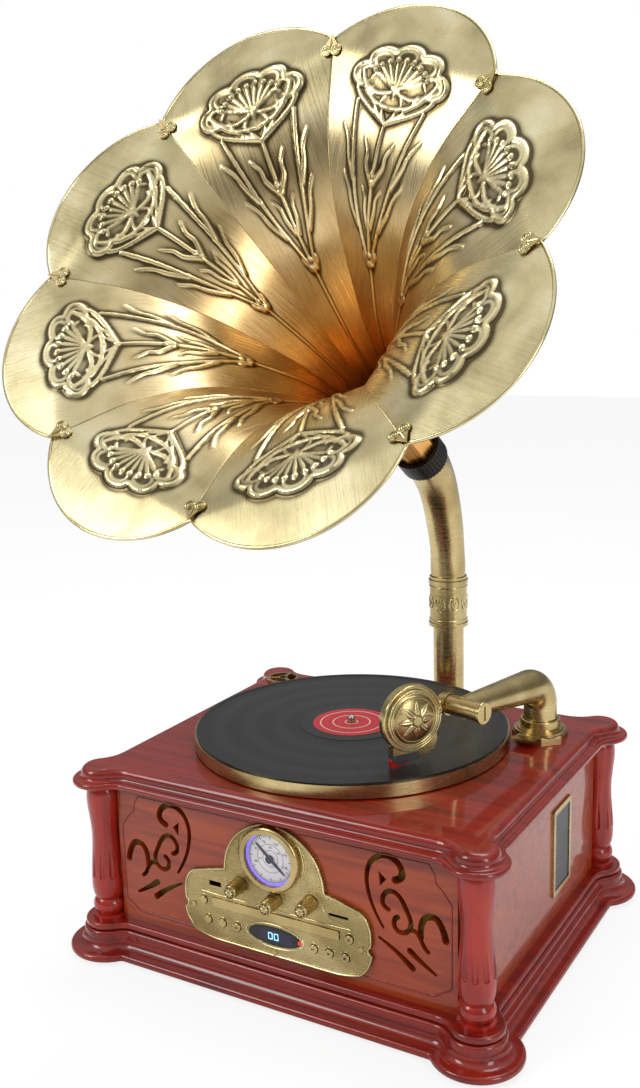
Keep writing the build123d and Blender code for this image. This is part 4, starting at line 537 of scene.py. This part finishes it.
def horn_curve():
    """The middle line of a petal as (distance from the axis, rise), closely spaced."""
    knots = np.array([(20 * SHARE, -340)] + [(r * SHARE, s) for s, r in SEAM], float)
    slope = TIP_RISE / (OFFSET + LOBE - knots[-1][0])
    ends = np.array([(0.0, 1.0), (1.0, slope)])
    ends /= np.linalg.norm(ends, axis=1)[:, None]
    at = np.concatenate([[0], np.cumsum(np.linalg.norm(np.diff(knots, axis=0), axis=1))])
    count = len(knots)
    system, right = np.zeros((count, count)), np.zeros((count, 2))
    system[0, 0] = system[-1, -1] = 1
    right[0], right[-1] = ends
    for i in range(1, count - 1):
        before, after = at[i] - at[i - 1], at[i + 1] - at[i]
        system[i, i - 1:i + 2] = after, 2 * (before + after), before
        rise_before = after * (knots[i] - knots[i - 1]) / before
        right[i] = 3 * (rise_before + before * (knots[i + 1] - knots[i]) / after)
    tangent = np.linalg.solve(system, right)
    line = []
    for i in range(count - 1):
        step = at[i + 1] - at[i]
        for t in np.linspace(0, 1, 24, endpoint=False):
            line.append((2 * t**3 - 3 * t**2 + 1) * knots[i] + (t**3 - 2 * t**2 + t) * step * tangent[i]
                        + (3 * t**2 - 2 * t**3) * knots[i + 1] + (t**3 - t**2) * step * tangent[i + 1])
    line.append(knots[-1])
    line.append((TIP, knots[-1][1] + (TIP - knots[-1][0]) * slope))
    return np.array(line)


CURVE = horn_curve()
RUN = np.concatenate([[0], np.cumsum(np.linalg.norm(np.diff(CURVE, axis=0), axis=1))])


def run_at(radius):
    """Length along the petal's middle line where the seam is at this radius."""
    return np.interp(radius * SHARE, CURVE[:, 0], RUN)


def stroke(v, t, points, width, height):
    """A raised round line; its width may taper from the first point to the last."""
    ends = width if isinstance(width, tuple) else (width, width)
    widths = np.linspace(*ends, len(points))
    best = np.zeros_like(v)
    for (p, q), (wa, wb) in zip(zip(points, points[1:]), zip(widths, widths[1:])):
        dv, dt = q[0] - p[0], q[1] - p[1]
        share = np.clip(((v - p[0]) * dv + (t - p[1]) * dt) / (dv * dv + dt * dt), 0, 1)
        away = np.hypot(v - p[0] - share * dv, t - p[1] - share * dt) / (wa + (wb - wa) * share)
        best = np.maximum(best, height * np.sqrt(np.clip(1 - away**2, 0, None)))
    return best


def curve_points(points, steps=10):
    """A smooth line through points."""
    p = [points[0], *points, points[-1]]
    line = []
    for a, b, c, d in zip(p, p[1:], p[2:], p[3:]):
        a, b, c, d = map(np.array, (a, b, c, d))
        for s in np.linspace(0, 1, steps, endpoint=False):
            bend = (2 * a - 5 * b + 4 * c - d) * s**2 + (3 * b - a - 3 * c + d) * s**3
            line.append(0.5 * (2 * b + (c - a) * s + bend))
    return [tuple(x) for x in line] + [tuple(points[-1])]


def flower_relief(v, t):
    """Height of the pressed flower, stems and leaves. v runs outward and t across."""
    whole_v, whole_t = v, t
    v, t = (v - HEAD_SHIFT) / HEAD_LONG, t / HEAD_WIDE
    side = np.abs(t)
    raised = np.zeros_like(v)
    scallops = [(27 * math.cos(a) - 4, 29 * math.sin(a)) for a in np.radians((-80, -40, 0, 40, 80))]
    edge = np.sort([np.hypot(v - cv, t - ct) - 13.5 for cv, ct in scallops], axis=0)
    inner = np.hypot(v + 4, t * 0.85) - 25
    outline = np.minimum(edge[0], inner)
    raised += 1.2 / (1 + np.exp(np.clip(outline * 1.6, -30, 30)))
    raised += 1.9 * np.exp(-((outline + 2.0) / 1.3) ** 2)
    raised += 0.8 * np.exp(-((outline + 6.0) / 1.1) ** 2) * (inner > -4)
    raised -= 1.0 * np.exp(-((edge[1] - edge[0]) / 1.3) ** 2) * (edge[0] < -1) * (inner > -6)
    for angle in np.radians(np.arange(-66, 67, 16.5)):
        tip = (24 * math.cos(angle) - 4, 25 * math.sin(angle))
        raised += stroke(v, t, [(-8, 4 * math.sin(angle)), tip], 0.9, 1.1)
        raised += 2.0 * np.sqrt(np.clip(1 - ((v - tip[0]) ** 2 + (t - tip[1]) ** 2) / 4.4, 0, None))
    head_lines = [
        ([(4, 33), (-8, 27), (-15, 15), (-12, 4)], 2.0, 2.6),
        ([(4, 33), (9, 27), (4, 21), (-2, 24)], (2.0, 1.0), 2.4),
        ([(-12, 34), (-22, 27), (-33, 13), (-42, 0)], 1.7, 2.4),
        ([(-10, 20), (-24, 16), (-34, 7), (-42, 0)], 1.5, 2.2),
        ([(-12, 4), (-22, 9), (-32, 5), (-42, 0)], 1.3, 2.0),
    ]
    for points, width, height in head_lines:
        raised = np.maximum(raised, stroke(v, side, curve_points(points), width, height))
    bud = np.maximum(v + 5.5, side * 0.88 - (v + 20) * 0.47)
    rounded = 2.6 * np.sqrt(1 - np.clip((bud + 5.5) / 5.5, 0, 1) ** 2)
    raised = np.maximum(raised, rounded * (bud < 0))
    v, t, side = whole_v, whole_t, np.abs(whole_t)
    lines = [
        (curve_points([(-4, 36), (-34, 28), (-76, 18), (-112, 8), (-137, 1)]), (1.7, 1.2), 2.0),
        (curve_points([(-66, 21), (-50, 29), (-36, 34), (-24, 43)]), (2.8, 0.5), 1.9),
        (curve_points([(-104, 11), (-88, 20), (-74, 25), (-62, 33)]), (2.6, 0.5), 1.9),
        (curve_points([(-64, 2), (-52, 9), (-42, 10), (-32, 16)]), (2.6, 0.5), 2.0),
        (curve_points([(-104, 1), (-90, 5), (-78, 6), (-70, 11)]), (2.4, 0.4), 1.8),
        (curve_points([(-137, 2), (-129, 6), (-124, 5)]), (2.4, 0.8), 1.8),
        ([(-18, 0), (-137, 0)], 1.4, 2.0),
        ([(-137, 0), (-190, 0), (-300, 0)], (1.5, 0.8), 1.5),
    ]
    for points, width, height in lines:
        raised = np.maximum(raised, stroke(v, side, points, width, height))
    for cv, ct, radius in ((-66, 0, 3.6), (-58.5, 0, 2.6), (-137, 0, 5.0), (-128.5, 0, 2.8)):
        away = ((v - cv) ** 2 + (t - ct) ** 2) / radius**2
        raised = np.maximum(raised, 3.0 * np.sqrt(np.clip(1 - away, 0, None)))
    return raised


def smoothed(field, times):
    for _ in range(times):
        padded = np.pad(field, 1, mode="edge")
        field = (padded[1:-1, :-2] + padded[1:-1, 2:] + padded[:-2, 1:-1] + padded[2:, 1:-1] + 2 * field) / 6
    return field


def petal_grid(rows, columns):
    """One petal's points about the horn axis, with its hollow shade and brushing place."""
    angle = np.linspace(-HALF, HALF, columns)
    reach = OFFSET * np.cos(angle) + np.sqrt(LOBE**2 - (OFFSET * np.sin(angle)) ** 2)
    end = np.interp(reach * np.cos(angle), CURVE[:, 0], RUN)
    share = np.linspace(0, 1, rows) ** 0.8
    run = share[:, None] * end[None, :]
    x = np.interp(run, RUN, CURVE[:, 0])
    s = np.interp(run, RUN, CURVE[:, 1])
    t = x * np.tan(angle)[None, :]
    dx = np.interp(run, RUN, np.gradient(CURVE[:, 0], RUN))
    ds = np.interp(run, RUN, np.gradient(CURVE[:, 1], RUN))
    long = np.hypot(dx, ds)
    v = run - run_at(FLOWER_RADIUS)
    raised = flower_relief(v, t)
    near_seam = np.clip((x * math.tan(HALF) - np.abs(t)) / 4.0, 0, 1)
    near_rim = np.clip((end[None, :] - run) / 5.0, 0, 1)
    raised = smoothed(raised * near_seam * near_rim, 1)
    around = smoothed(raised, 20)
    hollow = np.clip((around - raised) * 1.6 + 0.1 * np.clip(around, 0, 1), -1, 1)
    points = np.stack([x - raised * ds / long, t, s + raised * dx / long], -1)
    place = np.stack([t, run, np.zeros_like(t)], -1) * MM
    return points, hollow, place


def about_horn(points, turn):
    """Points about the horn's axis turned round it and carried to the mouth."""
    x, y = points[:, 0], points[:, 1]
    c, s = math.cos(turn), math.sin(turn)
    turned = np.stack([x * c - y * s, x * s + y * c, points[:, 2]], -1)
    return placed(turned, MOUTH, (1, 0, 0), HORN_UP)


def build_petals():
    """Eight pressed petals as one thin sheet, and the rolled rim round them."""
    rows, columns = 300, 132
    points, hollow, place = petal_grid(rows, columns)
    flat = points.reshape(-1, 3)
    faces = grid_faces(rows, columns)
    turns = [math.radians(HORN_TURN + 360 / PETALS * k) for k in range(PETALS)]
    parts = [(about_horn(flat, turn), faces, PETAL) for turn in turns]
    made = piece("horn_flower_petals", parts, "horn", ("horn_petals",), 60)
    shade = made.data.attributes.new("hollow", "FLOAT", "POINT")
    shade.data.foreach_set("value", np.tile(hollow.ravel(), PETALS).astype(np.float32))
    brushed = made.data.attributes.new("petal_place", "FLOAT_VECTOR", "POINT")
    shifts = np.repeat(np.arange(PETALS) * 0.37, len(flat))
    where = np.tile(place.reshape(-1, 3), (PETALS, 1))
    where[:, 2] += shifts
    brushed.data.foreach_set("vector", where.astype(np.float32).ravel())
    sheet = made.modifiers.new("sheet", "SOLIDIFY")
    sheet.thickness = 0.8 * MM
    sheet.offset = 0.0
    wire = []
    for middle in turns:
        for angle in np.linspace(-HALF, HALF, 36, endpoint=False):
            reach = OFFSET * math.cos(angle) + math.sqrt(LOBE**2 - (OFFSET * math.sin(angle)) ** 2) - 1.0
            turn = middle + angle
            rise = np.interp(reach * math.cos(angle), CURVE[:, 0], CURVE[:, 1])
            wire.append((reach * math.cos(turn), reach * math.sin(turn), rise))
    rim_points, rim_faces = tube(wire, 1.5, 12, True)
    piece("horn_rim", [(about_horn(rim_points, 0), rim_faces, RIM)], "horn", (), 80)


def build_clip_rosettes():
    """Two coiled roses and a bead on each heart-shaped plate."""
    slope = math.atan2(8, 27.6)
    lift = 0.5 + 0.3 + 2.6 + 1.0
    base_x, base_z = 219 - lift * math.sin(slope), -(228.6 - 219) * math.tan(slope) + lift * math.cos(slope)
    shapes = []
    for k in range(PETALS):
        turn = math.radians(SEAM_TURN + 360 / PETALS * k)
        local = []
        for side in (-1, 1):
            centre = (-3.1, side * 4.5)
            for radius, wire in ((3.7, 0.6), (1.9, 0.55)):
                local.append(tube(circle(centre, radius, 0.25, 28), wire, 8, True))
            local.append(bead((*centre, 0.2), 1.0))
        local.append(tube([(-1, 0, 0.2), (3.5, 0, 0.3), (7.5, 0, 0.1)], [0.9, 0.7, 0.35], 8))
        for shape, shape_faces in local:
            x = base_x + shape[:, 0] * math.cos(slope) - shape[:, 2] * math.sin(slope)
            z = base_z + shape[:, 0] * math.sin(slope) + shape[:, 2] * math.cos(slope)
            shapes.append((about_horn(np.stack([x, shape[:, 1], z], -1), turn), shape_faces))
    piece("heart_clip_roses", [joined(shapes, RIM)], "horn")


def ring(inner, outer, low, high, segments=96):
    """A flat washer between two radii and two heights."""
    loop = [(inner, low), (outer, low), (outer, high), (inner, high)]
    turns = np.linspace(0, 2 * math.pi, segments, endpoint=False)
    points = [(r * math.cos(a), r * math.sin(a), h) for r, h in loop for a in turns]
    faces = grid_faces(4, segments, True)
    base = 3 * segments
    faces += [(base + i, base + (i + 1) % segments, (i + 1) % segments, i) for i in range(segments)]
    return np.array(points), faces


def front(part, out=0.0):
    """A part drawn in the front panel's plane, carried to it; heights run forward from the panel."""
    points, faces = part[0], part[1]
    moved = placed(np.asarray(points, float) + (0, 0, out), (0, -157, 0), (1, 0, 0), (0, 0, 1))
    return (moved, faces, *part[2:])


def lettering(words, size, x, y, height, finish):
    """Plain raised figures, centred on a point of the local plane."""
    font = bpy.data.curves.new("figures", "FONT")
    font.body, font.size, font.extrude = words, size, 0.06
    font.align_x, font.align_y = "CENTER", "CENTER"
    maker = bpy.data.objects.new("figures", font)
    mesh = bpy.data.meshes.new_from_object(maker)
    points = np.array([v.co for v in mesh.vertices], float).reshape(-1, 3) + (x, y, height)
    faces = [tuple(p.vertices) for p in mesh.polygons]
    bpy.data.objects.remove(maker)
    bpy.data.meshes.remove(mesh)
    return points, faces, finish


def rosette(radius, dome, edge, petals, reach, width, height, rows=40, columns=192):
    """Pressed petals round a low dome, whose height is dome in the middle and edge at the radius."""
    r = np.linspace(0.02, radius, rows)[:, None]
    angle = np.linspace(0, 2 * math.pi, columns, endpoint=False)[None, :]
    step = 2 * math.pi / petals
    turn = (angle + step / 2) % step - step / 2
    base = edge + (dome - edge) * (1 - (r / radius) ** 2)
    share = np.clip((r - reach[0]) / (reach[1] - reach[0]), 0, 1)
    half = width * np.sin(math.pi * share**0.75) + 0.01
    away = r * np.abs(turn)
    inside = np.sqrt(np.clip(1 - (away / half) ** 2, 0, None)) * (share > 0) * (share < 1)
    raised = height * inside - 0.35 * height * np.exp(-((away / (0.13 * width)) ** 2)) * (inside > 0.2)
    raised = raised + 0.55 * height * np.exp(-(((r - reach[1] * 1.1) / (0.05 * radius)) ** 2))
    raised = raised + 0.55 * height * np.exp(-(((r - reach[0] * 0.85) / (0.04 * radius)) ** 2))
    hollow = np.clip(0.95 - raised / height * 2.2, -0.6, 1) * (r > reach[0]) * (r < reach[1] * 1.08)
    z = base + raised
    z[-1] = base[-1] - 0.8
    points = np.stack([r * np.cos(angle), r * np.sin(angle), z], -1).reshape(-1, 3)
    faces = grid_faces(rows, columns, True) + [tuple(range(columns))[::-1]]
    low = np.full(columns, edge - 1.0)
    floor_ring = np.stack([radius * np.cos(angle[0]), radius * np.sin(angle[0]), low], -1)
    start = len(points)
    points = np.concatenate([points, floor_ring])
    faces += [(start - columns + i, start - columns + (i + 1) % columns, start + (i + 1) % columns, start + i)
              for i in range(columns)]
    faces += [tuple(start + i for i in range(columns))[::-1]]
    return points, faces, np.concatenate([hollow.ravel(), np.zeros(columns)])


def hollowed(made, values):
    """Stores how deep in a hollow each point is, for the dark hollows."""
    shade = made.data.attributes.new("hollow", "FLOAT", "POINT")
    shade.data.foreach_set("value", np.asarray(values, np.float32))


def build_head():
    """The pressed rosette on the soundbox, its rim rings, and the red stylus holder."""
    turn = math.radians(-31.6)
    side = (-math.sin(turn), math.cos(turn), 0)

    def on_face(points):
        return placed(points, (87.5, -63.8, 244.5), side, (0, 0, 1))

    points, faces, hollow = rosette(22.0, 10.35, 5.9, 8, (4.9, 18.4), 3.9, 1.5)
    made = piece("soundbox_rosette", [(on_face(points), faces, CROWN)], "head")
    hollowed(made, hollow)
    rims = []
    for radius, height, wire in ((29.2, 3.0, 0.9), (25.6, 5.0, 0.7), (23.2, 5.2, 0.8)):
        points, faces = tube(circle((0, 0), radius, height, 96), wire, 8, True)
        rims.append((on_face(points), faces, RIM))
    piece("soundbox_rims", rims, "head", (), 80)
    outline = [(-20.5, -43.4), (-2.0, -41.6), (-1.2, -38.6), (-3.0, -34.4), (-19.4, -34.4), (-21.0, -37.0)]
    points, faces = slab(outline, -4.6, 0.9)
    piece("stylus_holder", [(on_face(points), faces, STYLUS)], "head")


def outline_of(name, level, gap=0.02):
    """The longest edge loop of a CAD node's front face at this y, as (x, z) in mm."""
    mesh = nodes[name].data
    edges = {}
    for polygon in mesh.polygons:
        corners = [mesh.vertices[i].co / MM for i in polygon.vertices]
        if all(abs(c.y - level) < gap for c in corners):
            keys = [(round(c.x, 2), round(c.z, 2)) for c in corners]
            for a, b in zip(keys, keys[1:] + keys[:1]):
                if a != b:
                    edges[(a, b)] = edges.get((a, b), 0) + 1
    ahead = {a: b for (a, b) in edges if (b, a) not in edges}
    best, best_length = [], 0.0
    while ahead:
        start, point = ahead.popitem()
        loop = [start]
        while point != start and point in ahead:
            loop.append(point)
            point = ahead.pop(point)
        length = sum(math.dist(a, b) for a, b in zip(loop, loop[1:]))
        if length > best_length:
            best, best_length = loop, length
    return np.array(best)


def evenly(loop, step):
    """A closed loop's points at equal spacing."""
    loop = np.vstack([loop, loop[:1]])
    run = np.concatenate([[0], np.cumsum(np.linalg.norm(np.diff(loop, axis=0), axis=1))])
    at = np.linspace(0, run[-1], max(8, int(run[-1] / step)), endpoint=False)
    return np.stack([np.interp(at, run, loop[:, 0]), np.interp(at, run, loop[:, 1])], -1)


def inset(loop, distance):
    """A closed loop moved towards its inside."""
    ahead = np.roll(loop, -2, 0) - np.roll(loop, 2, 0)
    ahead /= np.linalg.norm(ahead, axis=1)[:, None]
    area = np.sum(loop[:, 0] * np.roll(loop[:, 1], -1) - loop[:, 1] * np.roll(loop[:, 0], -1))
    way = np.stack([-ahead[:, 1], ahead[:, 0]], -1) * (1 if area > 0 else -1)
    return loop + way * distance


def raised_line(loop, height):
    return np.column_stack([loop, np.full(len(loop), height)])


DIAL = (-1, 134)
DISPLAY = (-0.4, 60)
BUTTONS = [(x, 59.2) for x in (-70.9, -55.1, -39.6, 39.6, 55.1, 70.9)] + [(-75.0, 77.4), (75.0, 77.4)]
KNOBS = {"volume_knob": (-34.5, 101.5), "function_knob": (1.5, 95.2), "tuning_knob": (37.5, 101.5)}
PLATE_TOP = 3.1


def build_plate():
    """The plate's rolled edge, beads, display border, dial figures, and the marks on its buttons."""
    edge = evenly(outline_of("control_plate", -160), 1.2)
    shapes = [tube(raised_line(inset(edge, 1.0), PLATE_TOP), 0.95, 8, True)]
    shapes += [bead((x, y, PLATE_TOP), 0.62, 4, 8) for x, y in evenly(inset(edge, 3.0), 1.75)]
    shapes.append(tube(circle(DISPLAY, 29.6, PLATE_TOP, 199, 11.0), 0.8, 8, True))
    oval = np.array(circle(DISPLAY, 28.1, PLATE_TOP, 199, 9.6))[:, :2]
    shapes += [bead((x, y, PLATE_TOP), 0.6, 4, 8) for x, y in evenly(oval, 1.6)]
    field = [(-51, 104), (-49.5, 99), (-56, 91.5), (-66, 88.5), (-67.5, 85.6), (67.5, 85.6), (66, 88.5),
             (56, 91.5), (49.5, 99), (51, 104)]
    kept = [(x, y, 3.05) for x, y in curve_points(field, 6) if abs(x) > 44 or y > 90]
    shapes.append(tube(kept, 0.5, 8))
    for radius in (32.4, 34.6):
        turns = np.radians(np.arange(-40, 221, 2))
        arc = [(DIAL[0] + radius * math.cos(a), DIAL[1] + radius * math.sin(a)) for a in turns]
        kept = [(x, y, PLATE_TOP) for x, y in arc if y < 113 + math.sqrt(max(0, 46.5**2 - x * x))]
        if radius < 33:
            shapes.append(tube(kept, 0.7, 8))
        else:
            shapes += [bead(p, 0.6, 4, 8) for p in kept]
    for place in BUTTONS:
        shapes.append(tube(circle(place, 5.1, 3.05, 31), 0.45, 6, True))
    for place in KNOBS.values():
        around = np.array(circle(place, 9.0, 3.05, 119))[:, :2]
        shapes += [bead((x, y, 3.05), 0.55, 4, 8) for x, y in evenly(around, 1.5)]
    piece("plate_trim", [front(joined(shapes, RIM))], "cabinet", (), 70)

    lcd = slab([(-16, 54.8), (18, 54.8), (18, 65.2), (-16, 65.2)], 3.5, 3.66)
    digits = []
    bars = [(0, 3, 2.0, 0.42), (0, -3, 2.0, 0.42), (1.9, 1.5, 0.42, 1.3), (1.9, -1.5, 0.42, 1.3),
            (-1.9, -1.5, 0.42, 1.3), (-1.9, 1.5, 0.42, 1.3)]
    for centre in (-4.4, 1.6):
        for x, y, w, h in bars:
            x, y = x + centre, y * 0.95 + DISPLAY[1]
            corners = [(x - w, y - h), (x + w, y - h), (x + w, y + h), (x - w, y + h)]
            digits.append(slab(corners, 3.66, 3.72))
    led = bead((25.4, 60.3, 3.6), 1.5, 8, 16, 0.6)
    screen = [front((*lcd, INK)), front(joined(digits, DIGIT)), front((*led, LED))]
    piece("display_screen", screen, "cabinet", (), 50)

    marks, figures = [], []
    for k in range(60):
        a = 2 * math.pi * k / 60
        inner, wide = (18.2, 0.32) if k % 5 == 0 else (19.8, 0.18)
        c, s = math.cos(a), math.sin(a)
        corners = [(inner, -wide), (21.6, -wide), (21.6, wide), (inner, wide)]
        marks.append(slab([(DIAL[0] + c * u - s * w, DIAL[1] + s * u + c * w) for u, w in corners], 4.0, 4.08))
    for radius, wide in ((22.0, 0.25), (13.0, 0.2), (7.6, 0.2)):
        points, faces = ring(radius - wide, radius + wide, 4.0, 4.07)
        marks.append((points + (*DIAL, 0), faces))
    scales = ((("88", "92", "96", "100", "104", "108"), 200, 44, 15.6, 3.5),
              (("54", "70", "100", "160"), 190, 50, 10.3, 2.7))
    for words, first, step, radius, height in scales:
        for k, word in enumerate(words):
            a = math.radians(first - step * k)
            place = (DIAL[0] + radius * math.cos(a), DIAL[1] + radius * math.sin(a))
            figures.append(lettering(word, height, *place, 4.05, INK))
    lit_points, lit_faces = ring(22.6, 25.2, 4.0, 4.1)
    parts = [front(joined(marks, INK)), front((lit_points + (*DIAL, 0), lit_faces, VIOLET))]
    piece("dial_marks", parts + [front(f) for f in figures], "cabinet", (), 50)

    shape_of = {
        "previous_button": [[(1.4, -1.5), (1.4, 1.5), (-0.6, 0)],
                            [(-1.4, -1.5), (-0.8, -1.5), (-0.8, 1.5), (-1.4, 1.5)]],
        "next_button": [[(-1.4, -1.5), (0.6, 0), (-1.4, 1.5)],
                        [(0.8, -1.5), (1.4, -1.5), (1.4, 1.5), (0.8, 1.5)]],
        "play_button": [[(-1.1, -1.6), (1.6, 0), (-1.1, 1.6)]],
        "stop_button": [[(-1.3, -1.3), (1.3, -1.3), (1.3, 1.3), (-1.3, 1.3)]],
        "eject_button": [[(-1.6, -0.3), (1.6, -0.3), (0, 1.7)],
                         [(-1.6, -1.4), (1.6, -1.4), (1.6, -0.8), (-1.6, -0.8)]],
    }
    for name, outlines in shape_of.items():
        low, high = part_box(name)
        x, z = (low.x + high.x) / 2 / MM, (low.z + high.z) / 2 / MM
        raised = [slab([(x + u, z + w) for u, w in outline], 5.15, 5.32) for outline in outlines]
        piece(name + "_mark", [front(joined(raised, INK))], name, (), 50)
    for name in KNOBS:
        low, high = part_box(name)
        x, z, out = (low.x + high.x) / 2 / MM, (low.z + high.z) / 2 / MM, -157 - low.y / MM
        points, faces, hollow = rosette(5.6, 0.75, 0.25, 8, (1.2, 4.6), 1.15, 0.6, 24, 96)
        face = front((points + (x, z, 0), faces, CROWN), out - 0.1)
        made = piece(name + "_rosette", [face], name)
        hollowed(made, hollow)


def mirrored(half):
    """Evenly spaced points of the closed line made by a half line and its mirror image."""
    return evenly(np.array(half + [(-x, y) for x, y in half[::-1]]), 3.0)


def build_fields():
    """The fine line round the front panel's field and round each side panel's field."""
    corner = [(-20, 160.7), (-15, 153), (-14, 145), (-8.5, 140.7)]
    front_half = [(167.5 + x, y) for x, y in corner]
    front_half += [(167.5, 129), (167.2, 90), (167, 55), (159.5, 50.7), (151.5, 45)]
    points, faces = tube(raised_line(mirrored(front_half), -0.3), 0.9, 8, True)
    piece("front_field_line", [front((points, faces, RED))], "cabinet", (), 80)
    side_half = [(112, 160.7), (117, 153), (118, 145), (122, 140.7), (127, 129), (127, 90), (127, 55),
                 (121, 50.7), (114, 45)]
    points, faces = tube(raised_line(mirrored(side_half), -0.3), 0.9, 8, True)
    for name, x, way in (("right_field_line", 189, 1), ("left_field_line", -189, -1)):
        line = placed(points, (x, 0, 0), (0, way, 0), (0, 0, 1))
        piece(name, [(line, faces, RED)], "cabinet", (), 80)


POST = (0, 212)
FERRULE_RADIUS = 20.3
FERRULE_MIDDLE = 276


def build_ferrule():
    """Pressed scrolls and fine rings round the post's ferrule."""
    shapes = []
    for k in range(8):
        centre, flip = 2 * math.pi * k / 8, 1 if k % 2 else -1
        path = []
        for a in np.linspace(0, 3.2 * math.pi, 60):
            reach = 1.2 + 5.6 * a / (3.2 * math.pi)
            turn = centre + reach * math.cos(a) / FERRULE_RADIUS
            path.append((POST[0] + FERRULE_RADIUS * math.cos(turn), POST[1] + FERRULE_RADIUS * math.sin(turn),
                         FERRULE_MIDDLE + flip * reach * math.sin(a) * 1.5))
        shapes.append(tube(path, np.linspace(0.5, 0.9, 60), 8))
        middle = (POST[0] + FERRULE_RADIUS * math.cos(centre), POST[1] + FERRULE_RADIUS * math.sin(centre))
        shapes.append(bead((*middle, FERRULE_MIDDLE), 1.4))
    for z in (257.5, 294.5):
        shapes.append(tube(circle(POST, FERRULE_RADIUS, z, 95), 0.8, 8, True))
    piece("ferrule_scrolls", [joined(shapes, RIM)], "cabinet", (), 80)


def build_label():
    """The paper label in the middle of the record."""
    points, faces = ring(3.9, 37.5, 200.9, 201.12, 128)
    piece("label", [(points + (-12, 8, 0), faces, LABEL)], "turntable")


build_petals()
build_clip_rosettes()
build_head()
build_plate()
build_fields()
build_ferrule()
build_label()
